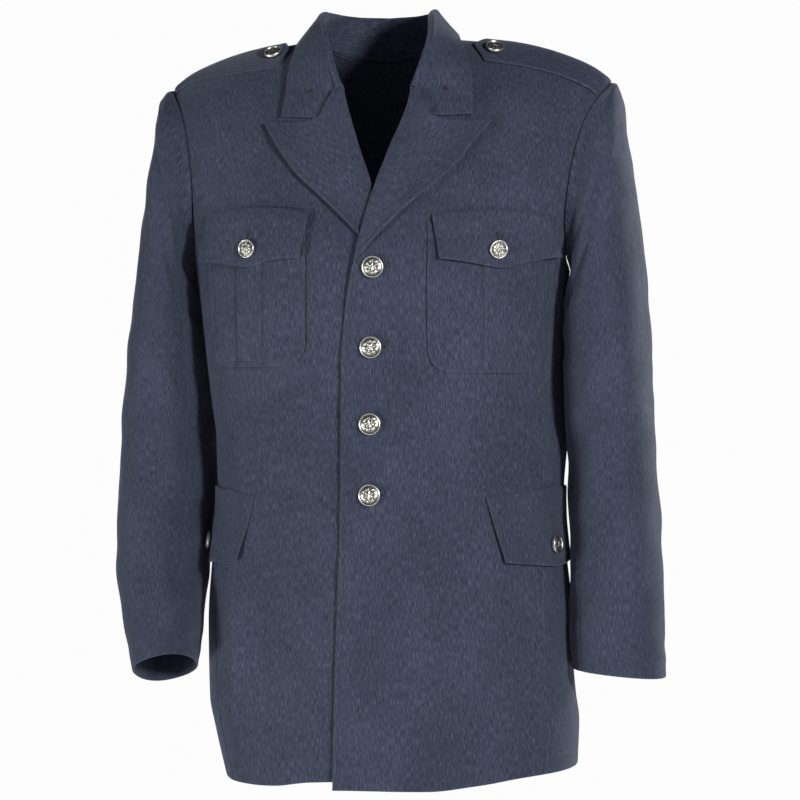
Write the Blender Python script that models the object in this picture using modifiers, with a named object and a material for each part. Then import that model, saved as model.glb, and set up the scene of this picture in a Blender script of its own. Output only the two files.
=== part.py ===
"""A dress uniform jacket, kept in the shape it has when it is worn.

Metres, +Z up. The origin is on the centre line, at the height where the shoulders meet the neck.
The front faces -Y and the wearer's left is +X. Each piece that a maker cuts and sews is one solid.
All cloth is placed by functions that give a point of one body, sleeve or collar surface, and a
lift that moves the point out along that surface, so that layers follow what they lie on.
"""

import math

import bpy
import numpy as np
from mathutils import Vector

# Walls of cloth, with the interlining that is fused to it
BODY_WALL = 0.0020
SLEEVE_WALL = 0.0016
COLLAR_WALL = 0.0015
LAPEL_WALL = 0.0016
POCKET_WALL = 0.0012
FLAP_WALL = 0.0018
STRAP_WALL = 0.0024

# Spaces between pieces
SEAM_GAP = 0.0003
LAYER_GAP = 0.0010

# Levels of the body. Above BASE a level slants up from the armhole to the neck.
HEM = -0.757
BASE = -0.222
TOP = -0.046
HEM_BLEND = 0.16
SEAM_FADE = 0.024
SHOULDER_Y = 0.002
FRONT_FULLNESS = 1.5
BACK_FULLNESS = 2.5

# Neck hole
NECK_HALF_WIDTH = 0.0745
NECK_BACK = 0.066
NECK_LEAN = 0.011

# The top of a side panel dips under the arm
ARMHOLE_DIP = 0.016
FRONT_TURN = 0.42
BACK_TURN = 0.58

# Sleeve seams, as turns round the arm from the shoulder point through the front
SLEEVE_FRONT_SEAM = 0.375
SLEEVE_BACK_SEAM = 0.665
SLEEVE_ROUNDNESS = 2.3
SLEEVE_SEAM_TURN = 0.0006
CAP_STATIONS = 5.0

# Collar
COLLAR_SEAT = 0.0012
COLLAR_EDGE_RISE = 0.0022
FOLD_RADIUS = 0.00225
STAND_SHARE = 0.34
FOLD_SHARE = 0.46
GORGE_SHARE = 0.33
GORGE_START = 0.78

# Lapels
LAPEL_NOTCH_SHARE = 0.20
LAPEL_NOTCH_DROP = 0.0252
LAPEL_ROLL = 0.0030

# Overlap of the wearer's left front over the right
LAP_INNER = 0.031
LAP_OUTER = 0.072

# Chest pockets
POCKET_TOP = -0.196
POCKET_BOTTOM = {1: -0.3450, -1: -0.3385}
POCKET_INNER = {1: 0.0575, -1: 0.0655}
POCKET_OUTER = 0.1730
POCKET_EDGE_MARGIN = 0.004
POCKET_CORNER = 0.024
PLEAT_INNER = 0.112
PLEAT_OUTER = 0.138
PLEAT_RISE = 0.0014
PLEAT_EDGE = 0.0012

# Hip flaps, as lengths round the body from the button
HIP_TOP = -0.460
HIP_BOTTOM = -0.5345
FLAP_BULGE = 0.0008
FLAP_GAP = 0.0006
FLAP_FREE = 0.0016
HIP_FLAP_FREE = 0.0008
HIP_POINT_DROP = 0.006
HIP_HALF_WIDTH = 0.080
HIP_SLANT = 0.016
HIP_BUTTON_SHIFT = {1: 0.0, -1: 0.012}
HIP_FRONT_EXTRA = {1: 0.009, -1: 0.014}
HIP_BUTTON_X = 0.172

# Shoulder straps
STRAP_POINT_X = 0.096
STRAP_CORNER = 0.010
STRAP_MARGIN = 0.0015
STRAP_SEAM_X = 0.222

# Buttons
FRONT_BUTTON = 0.0225
SMALL_BUTTON = 0.0190
CURVED_SEAT = 0.0005
CHEST_BUTTON_SHARE = 0.50
CHEST_BUTTON_DOWN = 0.68
HIP_BUTTON_DOWN = 0.72
STRAP_BUTTON_OVER = 0.32
FRONT_BUTTONS = ((0.004, -0.240), (0.002, -0.3195), (0.001, -0.3960), (0.001, -0.4665))


class Table:
    """Rows of named columns, read between the rows along a smooth curve that never overshoots."""

    def __init__(self, columns, *rows):
        self.columns = columns.split()
        self.rows = np.array(rows, float)
        steps = np.diff(self.rows[:, :1], axis=0)
        slopes = np.diff(self.rows, axis=0) / steps
        before, after = slopes[:-1], slopes[1:]
        total = np.where(before * after > 0, before + after, 1.0)
        inner = np.where(before * after > 0, 2 * before * after / total, 0.0)
        self.slopes = np.vstack([slopes[:1], inner, slopes[-1:]])

    def at(self, column, key):
        keys = self.rows[:, 0]
        key = np.clip(np.asarray(key, float), keys[0], keys[-1])
        i = np.clip(np.searchsorted(keys, key, side="right") - 1, 0, len(keys) - 2)
        k = self.columns.index(column)
        step = keys[i + 1] - keys[i]
        t = (key - keys[i]) / step
        low = (1 + 2 * t) * (1 - t) ** 2 * self.rows[i, k] + t * (1 - t) ** 2 * step * self.slopes[i, k]
        high = t**2 * (3 - 2 * t) * self.rows[i + 1, k] + t**2 * (t - 1) * step * self.slopes[i + 1, k]
        return low + high


# Half widths on the wearer's left and right, depths in front and behind, and how square the ring is
BODY = Table(
    "level left right front back roundness",
    (-0.757, 0.1950, 0.1695, 0.131, 0.128, 2.30),
    (-0.710, 0.1965, 0.1815, 0.132, 0.130, 2.30),
    (-0.680, 0.1930, 0.1875, 0.132, 0.132, 2.30),
    (-0.600, 0.1870, 0.1890, 0.132, 0.132, 2.30),
    (-0.540, 0.1830, 0.1850, 0.131, 0.129, 2.35),
    (-0.476, 0.1775, 0.1785, 0.129, 0.120, 2.35),
    (-0.415, 0.1700, 0.1800, 0.127, 0.109, 2.35),
    (-0.370, 0.1695, 0.1860, 0.126, 0.108, 2.35),
    (-0.300, 0.1755, 0.1940, 0.127, 0.116, 2.40),
    (-0.222, 0.1900, 0.2035, 0.127, 0.124, 2.40),
    (-0.200, 0.1990, 0.2070, 0.127, 0.126, 2.50),
    (-0.164, 0.2120, 0.2155, 0.127, 0.127, 2.80),
    (-0.130, 0.2220, 0.2240, 0.127, 0.127, 3.00),
    (-0.094, 0.2340, 0.2350, 0.127, 0.127, 3.20),
    (-0.046, 0.2500, 0.2500, 0.127, 0.127, 3.20),
)

# How far in front and behind the side seams lie
SEAMS = Table(
    "level front back",
    (-0.757, 0.072, 0.070),
    (-0.600, 0.068, 0.068),
    (-0.476, 0.056, 0.062),
    (-0.360, 0.021, 0.056),
    (-0.222, 0.034, 0.055),
)

# How far the middle of a side panel stands out, pressed by the arm against the waist
FLANK = Table(
    "level left right",
    (-0.757, 0.0000, 0.0000),
    (-0.660, 0.0000, 0.0000),
    (-0.620, 0.0010, 0.0000),
    (-0.575, 0.0030, 0.0000),
    (-0.540, 0.0013, 0.0000),
    (-0.520, 0.0006, 0.0000),
    (-0.500, 0.0010, 0.0000),
    (-0.476, 0.0029, 0.0000),
    (-0.458, 0.0060, 0.0010),
    (-0.415, 0.0140, 0.0030),
    (-0.370, 0.0130, 0.0030),
    (-0.318, 0.0080, 0.0020),
    (-0.276, 0.0030, 0.0005),
    (-0.222, 0.0000, 0.0000),
)

# Distance of the armhole seam from the centre line
ARMHOLE = Table(
    "level left right",
    (-0.222, 0.1867, 0.2000),
    (-0.200, 0.1870, 0.1965),
    (-0.164, 0.1915, 0.1955),
    (-0.130, 0.1980, 0.2000),
    (-0.094, 0.2085, 0.2095),
    (-0.070, 0.2190, 0.2195),
    (-0.055, 0.2260, 0.2265),
    (-0.046, 0.2290, 0.2290),
)

# Top of the shoulders, from the centre line out
SHOULDER = Table(
    "across height",
    (0.000, 0.004),
    (0.070, 0.002),
    (0.100, -0.001),
    (0.130, -0.005),
    (0.160, -0.012),
    (0.190, -0.0225),
    (0.210, -0.032),
    (0.229, -0.046),
    (0.250, -0.062),
)

# Inner edge of a front: front edge, roll line and neckline. Negative lies past the centre line.
FRONT_EDGE = Table(
    "height left right",
    (-0.765, -0.0362, -0.0362),
    (-0.630, -0.0330, -0.0330),
    (-0.500, -0.0290, -0.0290),
    (-0.340, -0.0280, -0.0280),
    (-0.280, -0.0235, -0.0235),
    (-0.250, -0.0190, -0.0190),
    (-0.235, -0.0155, -0.0155),
    (-0.161, 0.0037, -0.0006),
    (-0.1135, 0.0187, 0.0168),
    (-0.069, 0.0338, 0.0312),
    (-0.057, 0.0355, 0.0350),
    (-0.048, 0.0450, 0.0450),
    (-0.035, 0.0575, 0.0575),
    (-0.018, 0.0680, 0.0680),
    (0.003, NECK_HALF_WIDTH, NECK_HALF_WIDTH),
)

# How far the cloth beside the roll line stands forward of the chest
THROAT = Table(
    "height lift",
    (-0.160, 0.000),
    (-0.110, 0.005),
    (-0.085, 0.011),
    (-0.062, 0.016),
    (-0.035, 0.013),
    (-0.010, 0.005),
    (0.004, 0.000),
)
THROAT_WIDTH = 0.042

# Height of the hem on each side, from the front edge to the side
HEM_LINE = Table(
    "across left right",
    (-0.036, -0.7600, -0.7490),
    (0.060, -0.7600, -0.7540),
    (0.100, -0.7565, -0.7600),
    (0.150, -0.7490, -0.7615),
    (0.200, -0.7460, -0.7500),
)

# Lift of the left front where it laps over the right, and over the right lapel above the break
LAP = Table(
    "height lift",
    (-0.770, 0.0030),
    (-0.270, 0.0030),
    (-0.235, 0.0062),
    (-0.155, 0.0062),
    (-0.105, 0.0000),
)

# Soft folds of the body: the line of a trough or ridge in front view, its half width and depth.
# Side 1 is the wearer's left; face -1 the front. A negative depth is a trough.
FOLD_COLUMNS = ("side", "face", "x0", "z0", "x1", "z1", "half_width", "depth")
FOLDS = (
    (1, -1, 0.176, -0.575, 0.105, -0.655, 0.020, -0.0050),
    (1, -1, 0.165, -0.640, 0.090, -0.715, 0.018, -0.0035),
    (1, -1, 0.120, -0.720, 0.105, -0.757, 0.016, -0.0030),
    (1, -1, 0.130, -0.620, 0.060, -0.700, 0.022, 0.0030),
    (1, -1, 0.110, -0.045, 0.125, -0.130, 0.012, -0.0030),
    (1, -1, 0.145, -0.060, 0.150, -0.140, 0.010, -0.0025),
    (-1, -1, 0.150, -0.600, 0.150, -0.740, 0.016, 0.0040),
    (-1, -1, 0.085, -0.600, 0.080, -0.757, 0.020, -0.0030),
    (-1, -1, 0.105, -0.060, 0.120, -0.130, 0.014, -0.0025),
    (-1, -1, 0.160, -0.420, 0.090, -0.450, 0.016, -0.0025),
    (1, -1, 0.155, -0.400, 0.080, -0.430, 0.016, -0.0025),
    (1, 1, 0.120, -0.080, 0.150, -0.190, 0.018, -0.0035),
    (-1, 1, 0.125, -0.085, 0.150, -0.185, 0.018, -0.0035),
    (1, 1, 0.150, -0.390, 0.050, -0.420, 0.018, -0.0035),
    (-1, 1, 0.140, -0.405, 0.040, -0.430, 0.018, -0.0035),
    (1, 1, 0.080, -0.520, 0.095, -0.757, 0.026, 0.0040),
    (-1, 1, 0.090, -0.520, 0.100, -0.757, 0.026, 0.0040),
)

# Rings of the sleeves: the points furthest out and in, the middle, the half depth, and how much
# higher the front of the ring is than its middle
SLEEVE_COLUMNS = "station outer_x outer_z inner_x inner_z middle_y half_depth front_lift"
LEFT_SLEEVE = Table(
    SLEEVE_COLUMNS,
    (0, 0.2290, -0.0460, 0.1900, -0.2380, 0.002, 0.070, 0.000),
    (1, 0.2350, -0.0470, 0.1935, -0.2400, 0.002, 0.074, 0.000),
    (2, 0.2395, -0.0560, 0.1930, -0.2440, 0.002, 0.078, 0.000),
    (3, 0.2440, -0.0800, 0.1905, -0.2510, 0.003, 0.081, 0.000),
    (4, 0.2490, -0.1150, 0.1860, -0.2620, 0.003, 0.083, 0.000),
    (5, 0.2555, -0.1600, 0.1825, -0.2760, 0.004, 0.084, 0.000),
    (6, 0.2620, -0.2100, 0.1815, -0.2950, 0.006, 0.084, 0.000),
    (7, 0.2665, -0.2620, 0.1815, -0.3180, 0.008, 0.083, 0.000),
    (8, 0.2700, -0.3130, 0.1820, -0.3450, 0.010, 0.081, 0.000),
    (9, 0.2720, -0.3600, 0.1822, -0.3780, 0.011, 0.079, 0.000),
    (10, 0.2745, -0.4100, 0.1836, -0.4150, 0.010, 0.076, 0.000),
    (11, 0.2775, -0.4580, 0.1848, -0.4580, 0.006, 0.072, 0.002),
    (12, 0.2800, -0.5050, 0.1872, -0.5050, 0.001, 0.068, 0.003),
    (13, 0.2830, -0.5530, 0.1888, -0.5530, -0.004, 0.063, 0.003),
    (14, 0.2850, -0.5980, 0.1887, -0.5950, -0.008, 0.058, 0.002),
    (15, 0.2860, -0.6300, 0.1900, -0.6230, -0.011, 0.054, 0.001),
    (16, 0.2870, -0.6540, 0.1912, -0.6450, -0.013, 0.051, 0.000),
)
RIGHT_SLEEVE = Table(
    SLEEVE_COLUMNS,
    (0, 0.2290, -0.0460, 0.2010, -0.2380, 0.002, 0.070, 0.000),
    (1, 0.2355, -0.0470, 0.2040, -0.2400, 0.002, 0.074, 0.000),
    (2, 0.2400, -0.0560, 0.2050, -0.2440, 0.002, 0.078, 0.000),
    (3, 0.2425, -0.0800, 0.2045, -0.2510, 0.003, 0.081, 0.000),
    (4, 0.2480, -0.1150, 0.2030, -0.2620, 0.003, 0.082, 0.000),
    (5, 0.2545, -0.1600, 0.2010, -0.2760, 0.004, 0.082, 0.000),
    (6, 0.2620, -0.2100, 0.1985, -0.2950, 0.006, 0.082, 0.000),
    (7, 0.2695, -0.2620, 0.1960, -0.3180, 0.008, 0.081, 0.000),
    (8, 0.2755, -0.3130, 0.1935, -0.3450, 0.010, 0.080, 0.000),
    (9, 0.2800, -0.3600, 0.1915, -0.3800, 0.011, 0.079, 0.000),
    (10, 0.2840, -0.4100, 0.1885, -0.4200, 0.008, 0.078, 0.002),
    (11, 0.2855, -0.4580, 0.1865, -0.4650, 0.001, 0.075, 0.006),
    (12, 0.2840, -0.5050, 0.1885, -0.5080, -0.012, 0.071, 0.011),
    (13, 0.2805, -0.5520, 0.1895, -0.5500, -0.028, 0.067, 0.014),
    (14, 0.2710, -0.5960, 0.1900, -0.5850, -0.046, 0.063, 0.016),
    (15, 0.2600, -0.6300, 0.1910, -0.6150, -0.060, 0.060, 0.016),
    (16, 0.2530, -0.6560, 0.1920, -0.6380, -0.070, 0.058, 0.016),
)

# Creases of the sleeves: turn and station of their ends, half widths round and along, depth
CREASE_COLUMNS = ("side", "turn0", "station0", "turn1", "station1", "half_width", "depth")
CREASES = (
    (1, 0.20, 3.2, 0.34, 4.6, 0.55, -0.0030),
    (1, 0.28, 9.6, 0.42, 10.8, 0.70, -0.0040),
    (1, 0.26, 11.6, 0.40, 10.9, 0.55, -0.0030),
    (-1, 0.20, 3.4, 0.33, 4.6, 0.55, -0.0025),
    (-1, 0.24, 12.6, 0.40, 11.6, 0.60, -0.0050),
    (-1, 0.26, 13.4, 0.42, 12.9, 0.50, -0.0040),
    (-1, 0.24, 11.2, 0.38, 10.2, 0.70, -0.0040),
)

# The collar from the centre back to its front end: the fold in space, and the outer edge in plan
COLLAR = Table(
    "along fold_x fold_y fold_z edge_x edge_y",
    (0.00, 0.0000, 0.0660, 0.0310, 0.0000, 0.0790),
    (0.20, 0.0270, 0.0610, 0.0315, 0.0370, 0.0730),
    (0.40, 0.0490, 0.0370, 0.0310, 0.0660, 0.0450),
    (0.55, 0.0560, 0.0050, 0.0290, 0.0795, 0.0010),
    (0.65, 0.0560, -0.0240, 0.0220, 0.0845, -0.0200),
    (0.75, 0.0540, -0.0540, 0.0040, 0.0890, -0.0400),
    (0.85, 0.0480, -0.0765, -0.0210, 0.0935, -0.0580),
    (1.00, 0.0362, -0.0895, -0.0565, 0.0985, -0.0800),
)

# The front end of the collar in front view: down the gorge seam, then along the free edge
COLLAR_END = Table(
    "lay across height",
    (0.00, 0.0380, -0.0553),
    (0.33, 0.0522, -0.0872),
    (1.00, 0.0985, -0.0845),
)
NECK_SIDE = 0.55
NECK_SEAM = Table(
    "along height",
    (0.55, 0.0015),
    (0.65, -0.0080),
    (0.75, -0.0220),
    (0.85, -0.0380),
    (1.00, -0.0590),
)

# Outer edge of a lapel in front view, from the break to the tip
LAPEL_EDGE = Table(
    "along across height",
    (0.00, -0.0155, -0.2360),
    (0.22, 0.0125, -0.2065),
    (0.45, 0.0450, -0.1757),
    (0.72, 0.0815, -0.1410),
    (1.00, 0.1160, -0.0930),
)
LAPEL_BREAK = -0.2355
LAPEL_GORGE = -0.0595

# Edges of a shoulder strap in plan, from its point to the sleeve
STRAP = Table(
    "across front_left back_left front_right back_right",
    (0.095, -0.0420, 0.0020, -0.0430, 0.0010),
    (0.130, -0.0375, 0.0090, -0.0385, 0.0080),
    (0.165, -0.0345, 0.0150, -0.0320, 0.0150),
    (0.200, -0.0310, 0.0200, -0.0210, 0.0260),
    (0.229, -0.0270, 0.0240, -0.0110, 0.0340),
)


def smooth(low, high, value):
    """0 below low, 1 above high, and a soft step between them."""
    t = np.clip((value - low) / (high - low), 0, 1)
    return t * t * (3 - 2 * t)


def unit(vectors):
    return vectors / np.maximum(np.linalg.norm(vectors, axis=-1, keepdims=True), 1e-12)


def to_segment(x, z, x0, z0, x1, z1):
    """Distance from points to a line that ends at both ends, in front view."""
    length = (x1 - x0) ** 2 + (z1 - z0) ** 2
    t = np.clip(((x - x0) * (x1 - x0) + (z - z0) * (z1 - z0)) / length, 0, 1)
    return np.hypot(x - x0 - t * (x1 - x0), z - z0 - t * (z1 - z0))


def side_name(side):
    return "left" if side > 0 else "right"


def ring_depth(side, face, across, level):
    """How far the body's ring lies from the shoulder plane, at a distance from the centre line."""
    width = BODY.at(side_name(side), level)
    power = BODY.at("roundness", level)
    share = np.clip(np.abs(across) / width, 0, 1)
    return BODY.at("front" if face < 0 else "back", level) * (1 - share**power) ** (1 / power)


def height_at(side, across, level):
    up = np.clip((level - BASE) / (TOP - BASE), 0, 1)
    slanted = BASE + (SHOULDER.at("height", np.abs(across)) - BASE) * up
    hem = HEM_LINE.at(side_name(side), across) - HEM
    return np.where(level > BASE, slanted, level + hem * smooth(-HEM - HEM_BLEND, -HEM, -level))


def level_at(across, height):
    """The level that passes through a height, above the part that the hem bends."""
    up = (height - BASE) / (SHOULDER.at("height", np.abs(across)) - BASE)
    return np.where(height > BASE, BASE + (TOP - BASE) * np.clip(up, 0, 1), height)


def throat_lift(side, across, height):
    past_edge = np.maximum(across - FRONT_EDGE.at(side_name(side), height), 0)
    return THROAT.at("lift", height) * np.exp(-((past_edge / THROAT_WIDTH) ** 2))


def fold_lift(side, face, across, level, height):
    """Soft folds, which fade out before they reach a seam."""
    total = np.zeros(np.shape(across))
    for fold_side, fold_face, x0, z0, x1, z1, half_width, depth in FOLDS:
        if fold_side == side and fold_face == face:
            away = to_segment(across, height, x0, z0, x1, z1)
            total = total + depth * np.exp(-((away / half_width) ** 2))
    seam = seam_across(side, face, level)
    return total * (1 - smooth(seam - SEAM_FADE, seam, across)) * smooth(0, SEAM_FADE, across)


def body(side, face, across, level):
    """Points of the body's front (face -1) or back (face 1) on one side of the centre line."""
    across, level = np.broadcast_arrays(np.asarray(across, float), np.asarray(level, float))
    up = np.clip((level - BASE) / (TOP - BASE), 0, 1)
    fullness = FRONT_FULLNESS if face < 0 else BACK_FULLNESS
    fall = np.maximum(1 - up**fullness, 0) ** (1 / fullness)
    height = height_at(side, across, level)
    depth = ring_depth(side, face, across, level) + fold_lift(side, face, across, level, height)
    y = SHOULDER_Y * (1 - fall) + face * depth * fall
    if face < 0:
        y = y - throat_lift(side, across, height)
    return np.stack([side * across, y, height], axis=-1)


def flank_bulge(side, y, level):
    front, back = SEAMS.at("front", level), SEAMS.at("back", level)
    share = np.clip((y + front) / (front + back), 0, 1)
    return FLANK.at(side_name(side), level) * np.sin(math.pi * share) ** 1.5


def flank(side, y, level):
    """Points round the side of the body, by their distance forward or back."""
    y, level = np.broadcast_arrays(np.asarray(y, float), np.asarray(level, float))
    power = BODY.at("roundness", level)
    depth = np.where(y < 0, BODY.at("front", level), BODY.at("back", level))
    across = BODY.at(side_name(side), level) * (1 - (np.abs(y) / depth) ** power) ** (1 / power)
    across = across + flank_bulge(side, y, level)
    return np.stack([side * across, y, height_at(side, across, level)], axis=-1)


def lifted(surface, first, second, lift, outward, step=1e-4):
    """Points of a surface, moved along its normal. outward turns the normal to face out."""
    points = surface(first, second)
    along_first = surface(first + step, second) - surface(first - step, second)
    along_second = surface(first, second + step) - surface(first, second - step)
    normal = unit(np.cross(along_first, along_second)) * outward
    return points + normal * np.asarray(lift)[..., None]


def on_body(side, face, across, level, lift):
    def surface(x, e):
        return body(side, face, x, np.minimum(e, TOP))

    return lifted(surface, across, level, lift, -face * side)


def on_flank(side, y, level, lift):
    def surface(a, e):
        return flank(side, a, e)

    return lifted(surface, y, level, lift, side)


def lap_lift(side, across, height):
    """How far the left front is lifted where it lies over the right."""
    if side < 0:
        return np.zeros(np.shape(across))
    return LAP.at("lift", height) * (1 - smooth(LAP_INNER, LAP_OUTER, across))


def on_front(side, across, height, lift):
    """Points in front view, lifted off the front panel of one side."""
    level = level_at(across, height)
    return on_body(side, -1, across, level, lift + lap_lift(side, across, height))


def seam_across(side, face, level):
    """Distance from the centre line to the side seam or, above it, to the armhole."""
    power = BODY.at("roundness", level)
    depth = BODY.at("front" if face < 0 else "back", level)
    seam = SEAMS.at("front" if face < 0 else "back", level)
    below = BODY.at(side_name(side), level) * (1 - (seam / depth) ** power) ** (1 / power)
    return np.where(level > BASE, ARMHOLE.at(side_name(side), level), below)


def on_top(side, across, y, lift):
    """Points of the shoulders and the upper body, by their place in plan."""
    face = np.where(y < SHOULDER_Y, -1, 1)
    level = np.full(np.shape(across), TOP)
    for _ in range(12):
        height = height_at(side, across, level)
        forward = y + np.where(face < 0, throat_lift(side, across, height), 0)
        front = -ring_depth(side, -1, across, level)
        back = ring_depth(side, 1, across, level)
        reach = np.where(face < 0, front, back)
        fall = np.clip((forward - SHOULDER_Y) / (reach - SHOULDER_Y), 0, 0.999)
        fullness = np.where(face < 0, FRONT_FULLNESS, BACK_FULLNESS)
        level = BASE + (TOP - BASE) * (1 - fall**fullness) ** (1 / fullness)
    front_points = on_body(side, -1, across, level, lift)
    back_points = on_body(side, 1, across, level, lift)
    return np.where((face < 0)[..., None], front_points, back_points)


def side_panel_y(share, level):
    front, back = SEAMS.at("front", level), SEAMS.at("back", level)
    return (front + back) * share - front


def armhole(side, turn):
    """The armhole seam, from the shoulder point through the front and round under the arm."""
    turn = np.asarray(turn, float) % 1.0
    front_up = np.sin(np.clip(1 - turn / FRONT_TURN, 0, 1) * math.pi / 2)
    back_up = np.sin(np.clip((turn - BACK_TURN) / (1 - BACK_TURN), 0, 1) * math.pi / 2)
    front_level = BASE + (TOP - BASE) * front_up
    back_level = BASE + (TOP - BASE) * back_up
    share = np.clip((turn - FRONT_TURN) / (BACK_TURN - FRONT_TURN), 0, 1)
    y = side_panel_y(share, BASE)
    under = flank(side, y, BASE - ARMHOLE_DIP * (1 - (2 * share - 1) ** 2))
    front = body(side, -1, ARMHOLE.at(side_name(side), front_level), front_level)
    back = body(side, 1, ARMHOLE.at(side_name(side), back_level), back_level)
    points = np.where((turn <= FRONT_TURN)[..., None], front, under)
    return np.where((turn >= BACK_TURN)[..., None], back, points)


def sleeve_ring(side, turn, station):
    rings = LEFT_SLEEVE if side > 0 else RIGHT_SLEEVE
    outer_x, outer_z = rings.at("outer_x", station), rings.at("outer_z", station)
    inner_x, inner_z = rings.at("inner_x", station), rings.at("inner_z", station)
    out, forward = np.cos(2 * math.pi * turn), np.sin(2 * math.pi * turn)
    square = (np.abs(out) ** SLEEVE_ROUNDNESS + np.abs(forward) ** SLEEVE_ROUNDNESS) ** (-1 / SLEEVE_ROUNDNESS)
    out, forward = out * square, forward * square
    x = (outer_x + inner_x) / 2 + (outer_x - inner_x) / 2 * out
    y = rings.at("middle_y", station) - rings.at("half_depth", station) * forward
    z = (outer_z + inner_z) / 2 + (outer_z - inner_z) / 2 * out
    z = z + rings.at("front_lift", station) * forward
    return np.stack([side * x, y, z], axis=-1)


def sleeve(side, turn, station):
    """Points of a sleeve: rings of the table, drawn in to the armhole at the top."""
    turn, station = np.broadcast_arrays(np.asarray(turn, float), np.asarray(station, float))
    cap = np.clip(1 - station / CAP_STATIONS, 0, 1)[..., None] ** 2
    seam = armhole(side, turn) - sleeve_ring(side, turn, np.zeros_like(station))
    return sleeve_ring(side, turn, station) + seam * cap


def crease_lift(side, turn, station):
    total = np.zeros(np.shape(turn))
    for crease_side, turn0, station0, turn1, station1, half_width, depth in CREASES:
        if crease_side == side:
            away = to_segment(turn * 12, station, turn0 * 12, station0, turn1 * 12, station1)
            total = total + depth * np.exp(-((away / half_width) ** 2))
    return total


def on_sleeve(side, turn, station, lift):
    def surface(t, s):
        return sleeve(side, t, np.maximum(s, 0))

    return lifted(surface, turn, station, lift + crease_lift(side, turn, station), side)


def neckline_level(side, across):
    """Level of the back's top edge: the neckline near the centre, the shoulder seam further out."""
    share = np.clip(across / NECK_HALF_WIDTH, 0, 1)
    y = SHOULDER_Y + (NECK_BACK - SHOULDER_Y) * np.sqrt(1 - share**2)
    fall = (y - SHOULDER_Y) / (ring_depth(side, 1, across, TOP) - SHOULDER_Y)
    return BASE + (TOP - BASE) * (1 - fall**BACK_FULLNESS) ** (1 / BACK_FULLNESS)


def front_inner(side, level):
    """Distance from the centre line to the inner edge of a front, at a level."""
    across = np.zeros(np.shape(level))
    for _ in range(20):
        across = FRONT_EDGE.at(side_name(side), height_at(side, across, level))
    return across


def spread(count, crowding):
    """Numbers from 0 to 1, closer together towards 1."""
    return 1 - (1 - np.linspace(0, 1, count)) ** crowding


def upper_levels(count):
    return BASE + (TOP - BASE) * np.sin(np.linspace(0, math.pi / 2, count))


def lower_levels(count):
    return np.linspace(HEM, BASE, count)


LOWER = lower_levels(15)
UPPER = upper_levels(10)
LEVELS = np.concatenate([LOWER, UPPER[1:]])


def front_panel(side, lift):
    rows = []
    for level in LEVELS:
        inner = front_inner(side, level)
        outer = seam_across(side, -1, level) - SEAM_GAP / 2
        across = inner + (outer - inner) * spread(13, 1.5)
        height = height_at(side, across, level)
        extra = lap_lift(side, across, height)
        rows.append(on_body(side, -1, across, np.full_like(across, level), lift + extra))
    rows[-1][:, 1] = SHOULDER_Y - SEAM_GAP / 2
    return np.array(rows)


BACK_SHARES = np.array([0, 0.11, 0.22, 0.325, 0.46, 0.61, 0.76, 0.89, 1.0])


def back_panel(side, lift):
    rows = []
    for level in LEVELS:
        outer = seam_across(side, 1, level) - SEAM_GAP / 2
        across = SEAM_GAP / 2 + (outer - SEAM_GAP / 2) * BACK_SHARES
        top = np.where(across < NECK_HALF_WIDTH, neckline_level(side, across), TOP)
        levels = np.where(level > BASE, BASE + (level - BASE) * (top - BASE) / (TOP - BASE), level)
        rows.append(on_body(side, 1, across, levels, lift))
    rows[-1][across >= NECK_HALF_WIDTH, 1] = SHOULDER_Y + SEAM_GAP / 2
    return np.array(rows)


def side_panel(side, lift):
    rows = []
    for level in LOWER:
        share = np.linspace(0, 1, 5)
        y = side_panel_y(share, level) + SEAM_GAP / 2 * ((share == 0) * 1.0 - (share == 1))
        drop = (ARMHOLE_DIP * (1 - (2 * share - 1) ** 2) + SEAM_GAP / 2) * (level - HEM) / (BASE - HEM)
        rows.append(on_flank(side, y, level - drop, lift))
    return np.array(rows)


def sleeve_panel(side, start, end, count, lift):
    """Part of a sleeve between two seams, given as turns."""
    rows = []
    for station in np.arange(17.0):
        turns = np.linspace(start, end, count)
        turns[0] += SLEEVE_SEAM_TURN
        turns[-1] -= SLEEVE_SEAM_TURN
        points = on_sleeve(side, turns, np.full(count, station), lift)
        points[:, 0] += side * SEAM_GAP * (station == 0)
        rows.append(points)
    return np.array(rows)


def fold_line(place):
    return np.stack([COLLAR.at(name, place) for name in ("fold_x", "fold_y", "fold_z")], axis=-1)


def collar_seam(place):
    """The seam of the collar to the neckline, from the centre back to the front end."""
    back_across = NECK_HALF_WIDTH * np.sin(np.clip(place / NECK_SIDE, 0, 1) * math.pi / 2)
    back = body(1, 1, back_across, neckline_level(1, back_across))
    height = NECK_SEAM.at("height", place)
    front_across = FRONT_EDGE.at("right", height)
    front = body(1, -1, front_across, level_at(front_across, height))
    return np.where((place < NECK_SIDE)[..., None], back, front) + np.array([0.0, 0.0, COLLAR_SEAT])


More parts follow.
